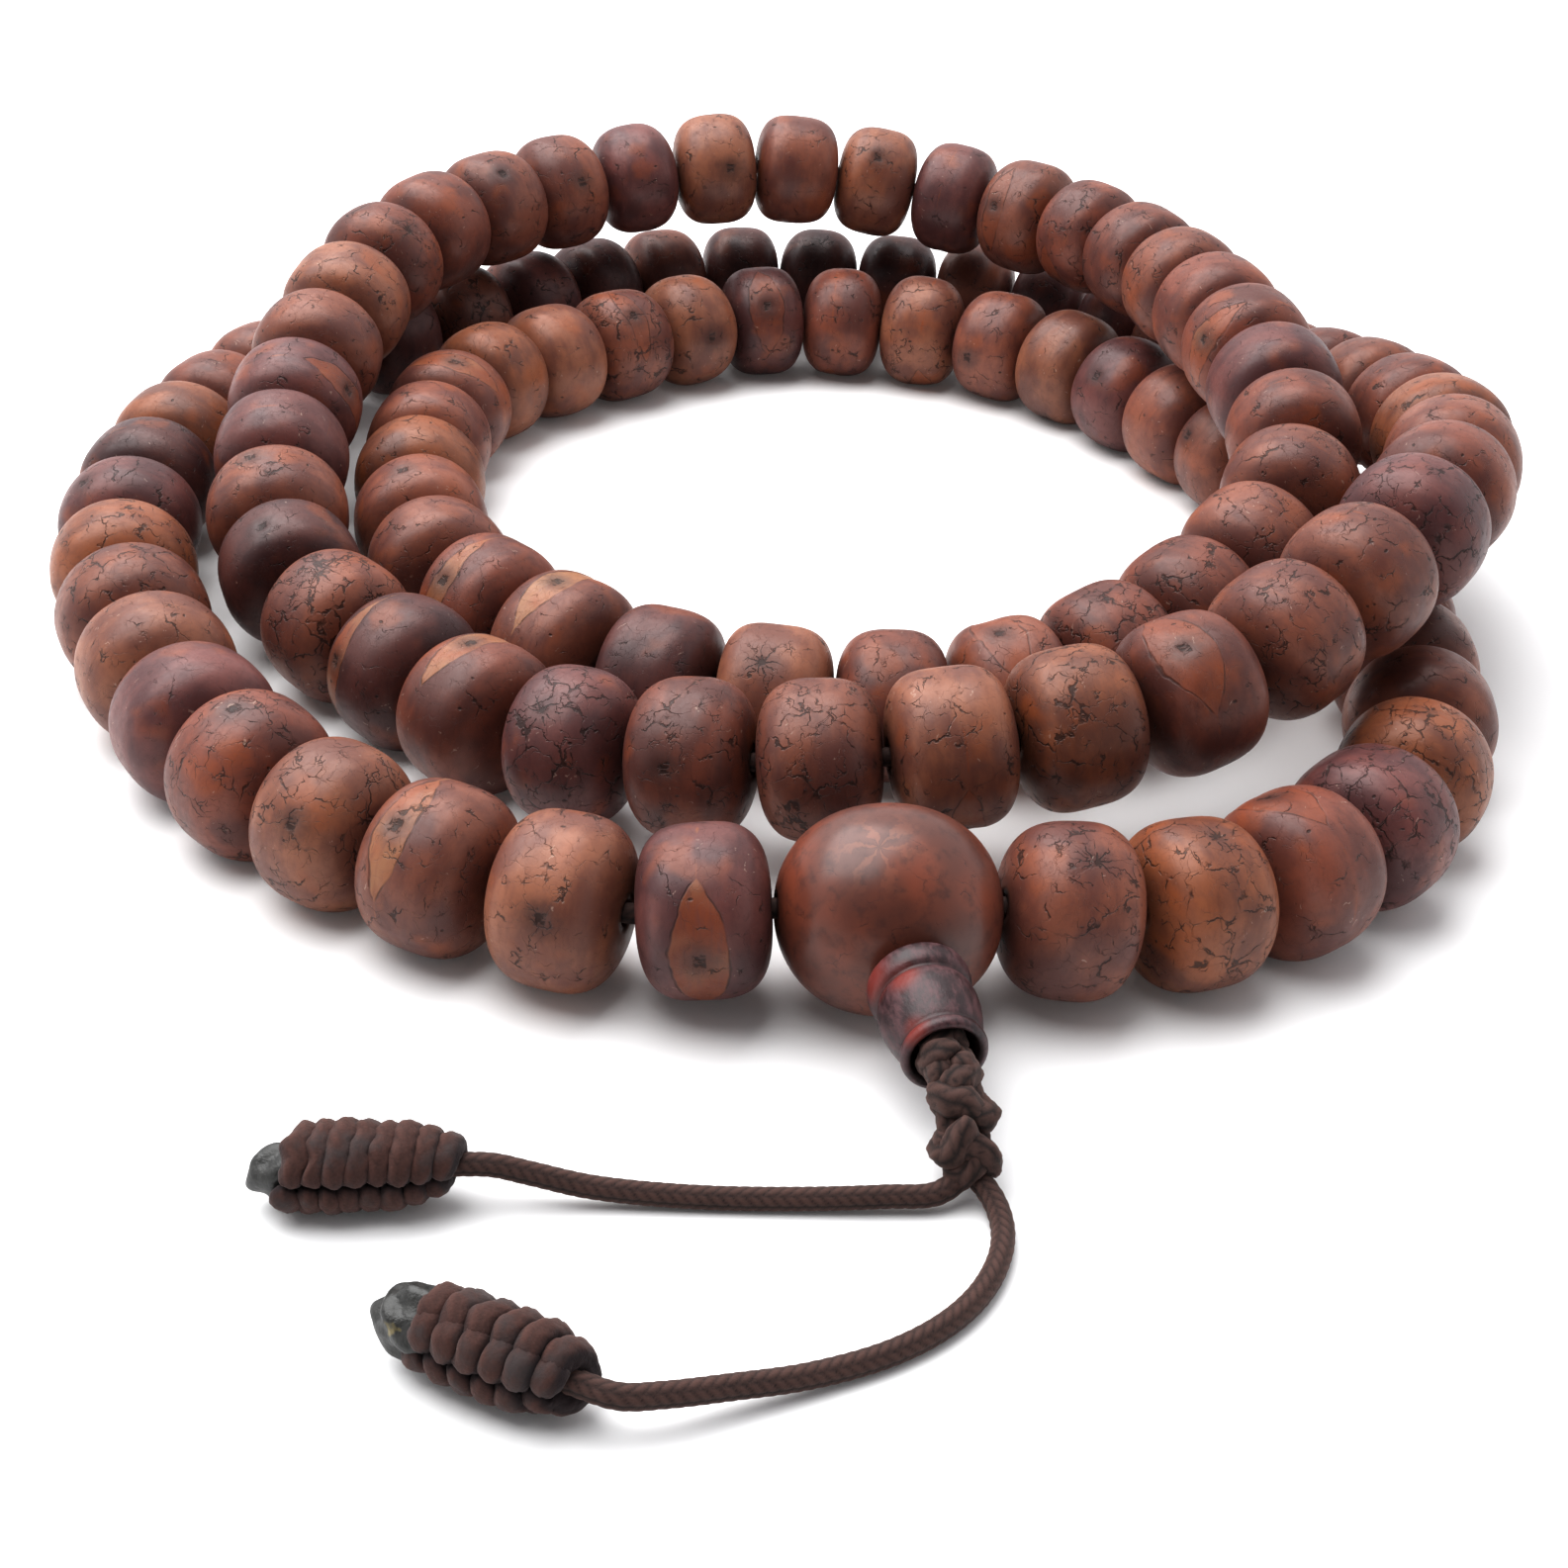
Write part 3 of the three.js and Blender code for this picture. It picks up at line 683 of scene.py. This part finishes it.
    skin = shader.noise(place, 4.0, detail=5.0, roughness=0.7)
    height = shader.math("MULTIPLY_ADD", skin, 0.16, shader.times(dark, -0.7))
    rough = shader.ramp(mottle, 0.3, 0.7, 0.42, 0.55)
    coat = shader.math("MULTIPLY_ADD", dark, -0.2, 0.22)
    return shader.finish(
        Base_Color=colour, Roughness=rough, Specular_IOR_Level=0.35,
        Normal=shader.bump(height, 0.07 * MM), Coat_Weight=coat, Coat_Roughness=0.3, Coat_IOR=1.5)


SEED_MATERIAL = seed_material()

# ---- beads ---------------------------------------------------------------------

BEAD_SIDES = 112
BEAD_HALF = 0.00392
BEAD_SKIN_R = 0.005
BEAD_BORE = 0.0008
OUTER_RINGS = 50
BORE_RINGS = 6
ROUNDNESS = 3.05            # 2 is an ellipsoid, more is squarer
CLEARANCE = 0.00004         # between a seed and the plane half way to its neighbour
GURU_ROOM = 0.0001          # between the guru and the seed on either side of it

# each seed's tone in stringing order from the guru: orange, tan, brown, red, purple, dark
TONES = (
    "ptbtrptbopdo" "rbbpbpdbdddb" "ppbbbrbrobrp" "bbrotbrprdbd"
    "bppbtrrbbptb" "tpbrrbrrprbb" "rrbrtdbrbbob" "botbtdrtbtpb" "bbbbrbboprob"
)
PALETTE = {
    "o": ((0.27, 0.096, 0.045), (0.14, 0.050, 0.031)),
    "t": ((0.275, 0.110, 0.062), (0.155, 0.058, 0.040)),
    "b": ((0.235, 0.083, 0.050), (0.125, 0.044, 0.034)),
    "r": ((0.215, 0.068, 0.042), (0.11, 0.038, 0.030)),
    "p": ((0.175, 0.064, 0.056), (0.092, 0.035, 0.035)),
    "d": ((0.12, 0.041, 0.034), (0.058, 0.021, 0.021)),
}
# the widely cracked seeds, and the smooth ones
CRACKED = (4, 5, 8, 9, 17, 36, 38, 40, 42, 44, 47, 54, 73, 74, 88, 92, 100, 102, 104, 105, 107, 108)
SMOOTH = (1, 6, 12, 39, 45, 46, 48, 50, 55, 58, 60, 69, 78, 79, 87, 94, 96, 106)

# where the mark of a seed is: degrees from its top toward its right, and mm along the cord;
# a lens also has its half width in mm, and how pale it is
LENSES = {
    1: (-90, 0.0, 1.6, 0.62), 3: (-35, 0.9, 1.2, 0.8), 39: (-20, 1.3, 1.8, 0.35),
    45: (0, 0.7, 1.1, 0.85), 46: (-70, 1.4, 0.9, 0.7), 51: (65, -0.9, 1.2, 0.6),
    63: (70, -0.8, 1.0, 0.4), 68: (70, 1.8, 1.3, 0.6), 75: (-5, 0.8, 1.5, 0.3),
    79: (-5, 0.5, 1.2, 0.95), 80: (-50, 0.3, 0.9, 0.8), 85: (10, -1.0, 1.3, 0.6),
    88: (40, -1.0, 1.0, 0.35), 90: (55, -0.6, 1.6, 0.3), 106: (25, 0.9, 1.6, 0.35),
}
STARS = {
    44: (-40, 0.0), 47: (-20, -0.6), 54: (40, -0.9), 77: (-35, 0.5), 107: (-10, 0.0), 108: (-25, 0.0),
}
PITS = {
    2: (-70, -0.5), 4: (-60, -1.0), 5: (-10, 0.0), 10: (-35, -1.2), 43: (-70, 0.3),
    48: (-25, -0.9), 49: (-20, 0.5), 56: (35, -1.2), 57: (65, -0.3), 59: (75, 0.9), 61: (50, -0.6),
    82: (-15, -1.0), 89: (80, -0.9), 93: (90, -1.0), 95: (60, 0.3), 97: (65, -1.0),
}


def skin_shape(across, roundness):
    """How far along a superellipse reaches, 1 at the middle, where it is `across` of its radius out."""
    return (1 - np.clip(across, 0, 1) ** roundness) ** (1 / roundness)


def half_that_fits(gap, roundness):
    """The longest half seed that stays clear of the plane half way to its neighbour."""
    before, after = GAPS[gap] - GAPS[max(gap - 1, 0)], GAPS[min(gap + 1, BEAD_COUNT)] - GAPS[gap]
    if gap in (0, BEAD_COUNT):
        return BEAD_HALF - GURU_ROOM
    cosine = before @ after / (np.linalg.norm(before) * np.linalg.norm(after))
    bend = math.acos(min(1.0, cosine)) / 2
    across = np.linspace(BEAD_BORE / BEAD_SKIN_R, 0.98, 60)
    room = BEAD_PITCH / 2 - (across * BEAD_SKIN_R * math.sin(bend) + CLEARANCE) / math.cos(bend)
    return min(BEAD_HALF, (room / skin_shape(across, roundness)).min())


def bead_outline(halves, radius, bore, roundness):
    """(radius, along) of a closed outline: the skin from mouth to mouth, then the bore."""
    mouth = math.asin(min(1.0, (bore / radius) ** (roundness / 2)))
    turn = np.linspace(mouth, np.pi - mouth, OUTER_RINGS)
    out = radius * np.sin(turn) ** (2 / roundness)
    half = np.where(turn < np.pi / 2, halves[0], halves[1])
    along = -half * np.sign(np.cos(turn)) * np.abs(np.cos(turn)) ** (2 / roundness)
    inner = np.linspace(along[-1], along[0], BORE_RINGS + 2)[1:-1]
    return np.concatenate([out, np.full(BORE_RINGS, bore)]), np.concatenate([along, inner])


def lathe(out, along, sides):
    """Vertices of an outline turned round local Y, angle 0 at local Z."""
    angle = np.arange(sides) * 2 * np.pi / sides
    out = out[:, None]
    verts = [out * np.sin(angle), along[:, None] * np.ones(sides), out * np.cos(angle)]
    return np.stack(verts, axis=2).reshape(-1, 3), np.tile(angle, len(out))


def mark_of(bead, rng):
    """Degrees round, mm along, lens half width and paleness, star, pit; underneath if not listed."""
    hidden = (rng.uniform(130, 230), rng.uniform(-0.8, 0.8))
    kind = rng.integers(3)
    if bead in LENSES:
        return (*LENSES[bead], 0.0, 1.0)
    if bead in STARS:
        return (*STARS[bead], 0.0, 0.0, 1.0, 0.4)
    if bead in PITS:
        return (*PITS[bead], 0.0, 0.0, 0.0, 1.0)
    return (*hidden, 1.3 if kind == 0 else 0.0, 0.5, float(kind == 1), 1.0)


def add_bead(bead):
    rng = np.random.default_rng(1000 + bead)
    roundness = ROUNDNESS + rng.uniform(-0.3, 0.35)
    radius = BEAD_SKIN_R * (1 + rng.uniform(-0.014, 0.006))
    halves = [half_that_fits(gap, roundness) for gap in (bead - 1, bead)]
    out, along = bead_outline(halves, radius, BEAD_BORE, roundness)
    verts, angle = lathe(out, along, BEAD_SIDES)
    skin = np.repeat(np.arange(len(out)) < OUTER_RINGS, BEAD_SIDES)

    turn, offset, lens, paleness, star, pitted = mark_of(bead, rng)
    around = np.angle(np.exp(1j * (angle - math.radians(turn)))) * radius / MM
    mark_place = np.stack([around, verts[:, 1] / MM - offset, np.zeros(len(verts))], axis=1)
    from_mark = np.hypot(mark_place[:, 0], mark_place[:, 1])
    in_lens = lens * np.clip(1 - (around / LENS_HALF_LENGTH) ** 2, 0, 1) - np.abs(mark_place[:, 1])
    dent = 0.07 * MM * np.clip(in_lens / 0.25, 0, 1) * (lens > 0)
    dent = dent + 0.16 * MM * np.exp(-((from_mark / 0.45) ** 2)) * pitted
    taper = rng.uniform(-0.025, 0.025) * verts[:, 1] / BEAD_HALF
    squash = 0.012 * np.cos(2 * (angle - rng.uniform(0, np.pi)))
    waves = lumpy(verts, 6 * MM, 0.006, bead) + lumpy(verts, 2.4 * MM, 0.0025, bead + 500)
    scale = 1 + np.where(skin, waves + taper + squash - dent / radius, 0.0)
    place = verts / MM + rng.uniform(-400, 400, 3)
    verts[:, 0] *= scale
    verts[:, 2] *= scale

    light, deep = (np.array(tone) for tone in PALETTE[TONES[bead - 1]])
    shade = rng.uniform(0.88, 1.12)
    crackle = rng.uniform(0.7, 1.0) if bead in CRACKED else rng.uniform(0.25, 0.6)
    crackle = rng.uniform(0.0, 0.15) if bead in SMOOTH else crackle
    count = len(verts)
    values = {
        "seed_place": place,
        "mark_place": mark_place,
        "light_tone": np.tile(light * shade, (count, 1)),
        "deep_tone": np.tile(deep * shade, (count, 1)),
        "crackle": np.full(count, crackle),
        "lens": np.full(count, lens),
        "paleness": np.full(count, paleness),
        "star": np.full(count, star),
        "pitted": np.full(count, pitted),
    }
    seat = frame_between(GAPS[bead - 1], GAPS[bead])
    world = placed(verts, seat)
    node = node_of(bead)
    made = add_mesh(
        f"seed_{bead:03d}", world, ring_faces(len(out), BEAD_SIDES, closed=True), SEED_MATERIAL, values)
    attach(made, BODY_OF[node])
    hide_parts(node)


for number in range(1, BEAD_COUNT + 1):
    add_bead(number)

# ---- guru ------------------------------------------------------------------------

GURU_R = 0.0059
GURU_HALF = 0.00632
GURU_BORE = 0.001
GURU_ROUNDNESS = 2.15
GURU_SIDES = 128
CAD_GURU_R, CAD_GURU_SIDES = 0.0058, 16
GURU_FLOOR = CAD_GURU_R * math.cos(math.pi / CAD_GURU_SIDES)
GURU_STAR = (-2.2, 1.2, 5.4)      # mm from the middle, on the crown
DROP_AXIS = Vector((0.23, -0.97, -0.06)).normalized()

guru_centre = Vector((GAPS[0] + GAPS[-1]) / 2)
guru_centre.z = GURU_FLOOR


def drop_point(distance):
    return guru_centre + DROP_AXIS * distance * MM


def guru_material():
    shader = Shader("guru_seed")
    place = shader.attribute("seed_place", "Vector")
    zones = shader.noise(place, 0.24, detail=2.0)
    mottle = shader.noise(place, 1.2, detail=5.0, roughness=0.62)
    zones = shader.ramp(zones, 0.3, 0.7)
    colour = shader.mix(zones, rgb(0.115, 0.038, 0.026), rgb(0.215, 0.058, 0.030))
    colour = shader.mix(shader.ramp(mottle, 0.46, 0.72, 0.0, 0.6), colour, rgb(0.06, 0.022, 0.018))

    # a soft star on the crown: pale rays with dark lines between them
    from_crown = shader.vector("SUBTRACT", place, GURU_STAR)
    parts = shader.node("ShaderNodeSeparateXYZ", {"Vector": from_crown})
    distance = shader.distance(from_crown)
    bend = shader.drift(place, 1.1, 11.0, -5.5, detail=4.0, roughness=0.6)
    spoke = shader.math("ARCTAN2", parts.outputs[1], parts.outputs[0])
    spoke = shader.math("SINE", shader.math("MULTIPLY_ADD", spoke, 6.0, bend))
    near = shader.ramp(distance, 0.6, 3.8, 1.0, 0.0)
    pale = shader.times(shader.ramp(spoke, 0.3, 0.95), near)
    colour = shader.mix(shader.times(pale, 0.28), colour, rgb(0.36, 0.12, 0.06))
    ray = shader.times(shader.math("ABSOLUTE", spoke), distance)
    ray_width = shader.ramp(distance, 0.3, 3.4, 0.14, 0.0)
    ray = shader.ramp(shader.math("SUBTRACT", ray, ray_width), -0.12, 0.12, 0.35, 0.0)
    ray = shader.times(ray, shader.ramp(shader.noise(place, 1.1), 0.4, 0.6))

    bent = shader.vector("ADD", place, shader.scaled(
        shader.noise(place, 1.4, detail=3.0, output="Color"), 1.1, 1.1, 1.1))
    cells = shader.voronoi(shader.scaled(bent, 1.6, 0.6, 1.0), 0.5, "DISTANCE_TO_EDGE")
    width = shader.ramp(shader.noise(place, 0.5), 0.5, 0.75, 0.0, 0.03)
    crack = shader.math("SUBTRACT", cells.outputs["Distance"], width)
    crack = shader.ramp(crack, -0.02, 0.01, 0.55, 0.0)
    crack = shader.math("MAXIMUM", crack, ray)
    colour = shader.mix(crack, colour, rgb(0.026, 0.012, 0.011))
    height = shader.math("MULTIPLY_ADD", mottle, 0.12, shader.times(crack, -0.2))
    return shader.finish(
        Base_Color=colour, Roughness=shader.ramp(mottle, 0.3, 0.7, 0.4, 0.5), Specular_IOR_Level=0.35,
        Normal=shader.bump(height, 0.05 * MM), Coat_Weight=0.5, Coat_Roughness=0.25, Coat_IOR=1.5)


def make_guru():
    out, along = bead_outline((GURU_HALF, GURU_HALF), GURU_R, GURU_BORE, GURU_ROUNDNESS)
    axis = Vector(GAPS[0] - GAPS[-1])
    axis.z = 0.0
    seat = frame_between(np.array(guru_centre - axis), np.array(guru_centre + axis))
    verts, _ = lathe(out, along, GURU_SIDES)
    place = verts / MM
    verts *= (1 + lumpy(verts, 9 * MM, 0.006, 77))[:, None]
    world = placed(verts, seat)
    faces = ring_faces(len(out), GURU_SIDES, closed=True)
    guru = add_mesh("guru_seed", world, faces, guru_material(), {"seed_place": place})
    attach(guru, "loop")
    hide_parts("guru_bead")


make_guru()

# ---- tower -------------------------------------------------------------------------

TOWER_START = 6.2           # mm from the guru's middle
TOWER_SIDES = 96
GROOVES = ((1.78 * MM, 0.14 * MM), (5.5 * MM, 0.12 * MM))      # along, and half width
# (radius, along) in mm from the rim on the guru to the countersunk mouth and back up the bore
TOWER_OUTLINE = [
    (1.6, 0.0), (2.3, 0.0), (2.56, 0.1), (2.74, 0.35), (2.8, 0.8), (2.76, 1.25), (2.64, 1.55),
    (2.48, 1.68), (2.4, 1.78), (2.48, 1.92), (2.6, 2.2), (2.68, 2.8), (2.66, 3.5), (2.54, 4.2),
    (2.36, 4.9), (2.22, 5.3),
    (2.12, 5.44), (2.1, 5.52), (2.18, 5.6), (2.28, 5.74), (2.32, 5.95), (2.26, 6.18), (2.12, 6.32),
    (1.96, 6.36), (1.84, 6.28), (1.72, 5.9), (1.6, 5.3),
]

# painted red highlights on the tower's left side, in mm from the tower's start (left, along, up), and
# how far the red reaches
ROSEWOOD_RED_HIGHLIGHTS = (((2.6, 0.9, 0.9), 1.9), ((1.5, 2.4, 2.2), 1.3), ((1.7, 5.9, 1.5), 1.2))


def rosewood_material():
    shader = Shader("rosewood")
    place = shader.attribute("wood_place", "Vector")
    rim = shader.attribute("rim", "Fac")
    grain = shader.noise(shader.scaled(place, 1.0, 0.45, 1.0), 1.7, detail=5.0, roughness=0.7)
    share = shader.ramp(grain, 0.38, 0.66)
    colour = shader.mix(share, rgb(0.030, 0.014, 0.016), rgb(0.108, 0.050, 0.054))
    # each spot is a painted red highlight
    for spot, reach in ROSEWOOD_RED_HIGHLIGHTS:
        away = shader.distance(place, spot)
        away = shader.math("MULTIPLY_ADD", grain, 0.8, shader.math("SUBTRACT", away, 0.4))
        colour = shader.mix(shader.ramp(away, 0.3, reach, 0.8, 0.0), colour, rgb(0.22, 0.035, 0.025))
    # painted shade in the grooves and inside the mouth, from rim
    colour = shader.mix(shader.times(rim, 0.75), colour, rgb(0.025, 0.013, 0.012))
    return shader.finish(
        Base_Color=colour, Roughness=shader.ramp(grain, 0.3, 0.7, 0.38, 0.55), Specular_IOR_Level=0.4,
        Normal=shader.bump(grain, 0.06 * MM), Coat_Weight=0.15, Coat_Roughness=0.3, Coat_IOR=1.5)


def make_tower():
    outline = np.array(TOWER_OUTLINE + [TOWER_OUTLINE[0]]) * MM
    along = length_along(np.column_stack([outline, np.zeros(len(outline))]))
    fine = np.linspace(0, along[-1], 90, endpoint=False)
    out, run = (np.interp(fine, along, outline[:, k]) for k in (0, 1))
    seat = frame_between(np.array(drop_point(TOWER_START)), np.array(drop_point(TOWER_START + 1)))
    seat.translation = drop_point(TOWER_START)
    verts, _ = lathe(out, run, TOWER_SIDES)
    # rim marks the grooves and the inside of the mouth, where painted shade goes
    groove = sum(np.exp(-((run - middle) / half) ** 2) for middle, half in GROOVES)
    inner = (out < 2.0 * MM) & (run > 5 * MM)
    values = {
        "wood_place": verts / MM,
        "rim": np.repeat(np.clip(0.8 * groove + inner, 0, 1), TOWER_SIDES),
    }
    world = placed(verts, seat)
    faces = ring_faces(len(out), TOWER_SIDES, closed=True)
    tower = add_mesh("tower_turned", world, faces, rosewood_material(), values)
    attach(tower, "tower")
    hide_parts("tower_bead")


make_tower()

# ---- cords that the object holds, and the knots under the tower -----------------------

STRAND_OFFSET = 0.62        # mm from the middle of the drop
STRINGING_END = 4.6         # mm along the drop, inside the guru


def make_stringing_cord():
    """Through every seed; its two ends meet in the guru and turn toward the tower."""
    side = Vector((0, 0, 1)).cross(DROP_AXIS).normalized() * -1
    apart = side * STRAND_OFFSET * MM
    start = [drop_point(STRINGING_END) + apart, drop_point(0.0) + apart]
    finish = [drop_point(0.0) - apart, drop_point(STRINGING_END) - apart]
    line = np.vstack([np.array(start), GAPS, np.array(finish)])
    verts, faces, values = braided_tube(line, CORD_R, sides=14, step=0.3 * MM)
    cord = add_mesh("stringing_braid", verts, faces, CORD_MATERIAL, values)
    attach(cord, "loop")
    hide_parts("stringing_cord")


def leaning_ring(centre, along, reach, tilt, spin):
    """A turn of cord round `along`, tilted so that it crosses the near side at a slant."""
    side = along.cross(Vector((0, 0, 1))).normalized()
    top = side.cross(along)
    normal = (Matrix.Rotation(math.radians(tilt), 3, top) @ along).normalized()
    first = top.cross(normal).normalized()
    second = normal.cross(first)
    turn = np.linspace(0, 2 * np.pi, 64) + spin
    wide = reach * (1 + 0.12 * np.cos(2 * turn))
    return (
        np.array(centre) + (wide * np.cos(turn))[:, None] * np.array(first)
        + (wide * np.sin(turn))[:, None] * np.array(second)
        + (0.12 * reach * np.sin(3 * turn))[:, None] * np.array(normal)
    )


# (mm along the drop, reach in mm, tilt in degrees) of each turn, from inside the tower's mouth
UPPER_TURNS = ((0.2, 0.72, 22), (1.35, 0.8, -42), (2.5, 0.8, 40))
LOWER_TURNS = ((3.6, 1.0, -42), (4.7, 1.22, 40), (5.75, 1.0, -36), (6.3, 0.7, 25))
STRAND_R = 0.84 * MM
LOWER_KNOT_AT = Vector((0.0111, -0.0668, 0.0021))
# mm along the drop: the part of the two strands that is built, near the tower's mouth
PAIR_FROM, PAIR_TO = 9.0, 12.6


def make_drop_knots():
    line = catmull_rom([drop_point(11.9), drop_point(13.6), LOWER_KNOT_AT, IN_THE_KNOT], closed=False)
    tangent = np.gradient(line, axis=0)

    def turns(rows):
        lines = []
        for k, (distance, reach, tilt) in enumerate(rows):
            here = int(np.searchsorted(length_along(line), distance * MM))
            here = min(here, len(line) - 1)
            along = Vector(tangent[here]).normalized()
            lines.append(leaning_ring(line[here], along, reach * MM, tilt, k * 1.3))
        return lines

    strands = [line + np.array(shift) for shift in ((0.0005, 0.0, 0.0), (-0.0005, 0.0, 0.0002))]
    inside = np.array([drop_point(PAIR_FROM), drop_point(PAIR_TO)])
    pair = [inside + shift for shift in ((CORD_R, 0.0, 0.0), (-CORD_R, 0.0, 0.0))]
    for name, node, lines, radius in (
            ("drop_pair", "drop_strands", pair, CORD_R),
            ("upper_knot_tied", "upper_knot", turns(UPPER_TURNS) + strands, STRAND_R),
            ("lower_knot_tied", "lower_knot", turns(LOWER_TURNS), STRAND_R)):
        verts, faces, values = pieces_of(lines, radius)
        for axis in range(3):
            coarse = lumpy(verts, 2.0 * MM, 0.13 * MM, 40 + axis)
            verts[:, axis] += coarse + lumpy(verts, 0.5 * MM, 0.02 * MM, 50 + axis)
        verts[:, 2] = np.maximum(verts[:, 2], 0.02 * MM)
        knot = add_mesh(name, verts, faces, CORD_MATERIAL, values)
        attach(knot, "drop")
        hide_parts(node)


def pieces_of(lines, radius):
    return joined([braided_tube(line, radius, sides=24, step=0.1 * MM) for line in lines])


make_stringing_cord()
make_drop_knots()

# ---- floor, light ----------------------------------------------------------------------


def make_floor():
    half = FLOOR_SIDE / 2
    row = FLOOR_CELLS + 1
    step = np.linspace(-half, half, row)
    verts = [(x, y, 0.0) for y in step for x in step]
    faces = [
        [j * row + i, j * row + i + 1, (j + 1) * row + i + 1, (j + 1) * row + i]
        for j in range(FLOOR_CELLS) for i in range(FLOOR_CELLS)]
    shader = Shader("pale_floor")
    # the floor glows faintly, a painted light that lifts its shadows
    material = shader.finish(
        Base_Color=rgb(0.86, 0.86, 0.86), Roughness=0.6, Specular_IOR_Level=0.2,
        Emission_Color=rgb(1.0, 1.0, 1.0), Emission_Strength=0.045)
    add_mesh("floor", verts, faces, material)


def add_softbox(name, at, target, size, power):
    data = bpy.data.lights.new(name, "AREA")
    data.shape = "RECTANGLE"
    data.size, data.size_y = size
    data.energy = power
    light = bpy.data.objects.new(name, data)
    bpy.context.scene.collection.objects.link(light)
    light.matrix_world = Matrix.Translation(at)
    light.rotation_mode = "QUATERNION"
    light.rotation_quaternion = (Vector(target) - Vector(at)).to_track_quat("-Z", "Y")


DARK_SIDE = (0.0, -0.87, 0.5)      # toward the camera, where the room is dark


def make_world():
    """White walls at the sides and the back, and a dark room on the near side."""
    world = bpy.data.worlds.new("studio")
    world.use_nodes = True
    tree = world.node_tree
    direction = tree.nodes.new("ShaderNodeTexCoord")
    toward = tree.nodes.new("ShaderNodeVectorMath")
    toward.operation = "DOT_PRODUCT"
    toward.inputs[1].default_value = DARK_SIDE
    ramp = tree.nodes.new("ShaderNodeMapRange")
    ramp.interpolation_type = "SMOOTHSTEP"
    for name, value in (("From Min", 0.28), ("From Max", 1.0), ("To Min", 1.15), ("To Max", 0.045)):
        ramp.inputs[name].default_value = value
    tree.links.new(direction.outputs["Generated"], toward.inputs[0])
    tree.links.new(toward.outputs["Value"], ramp.inputs["Value"])
    tree.links.new(ramp.outputs["Result"], tree.nodes["Background"].inputs["Strength"])
    tree.nodes["Background"].inputs["Color"].default_value = rgb(0.97, 0.975, 1.0)
    bpy.context.scene.world = world


make_floor()
make_world()
add_softbox("softbox_top", at=(-0.2, 0.1, 0.5), target=(0, 0, 0), size=(0.7, 0.6), power=6.5)
# the photo's tones: plain display, with deeper middle tones
bpy.context.scene.view_settings.view_transform = "Standard"
bpy.context.scene.view_settings.gamma = 0.82
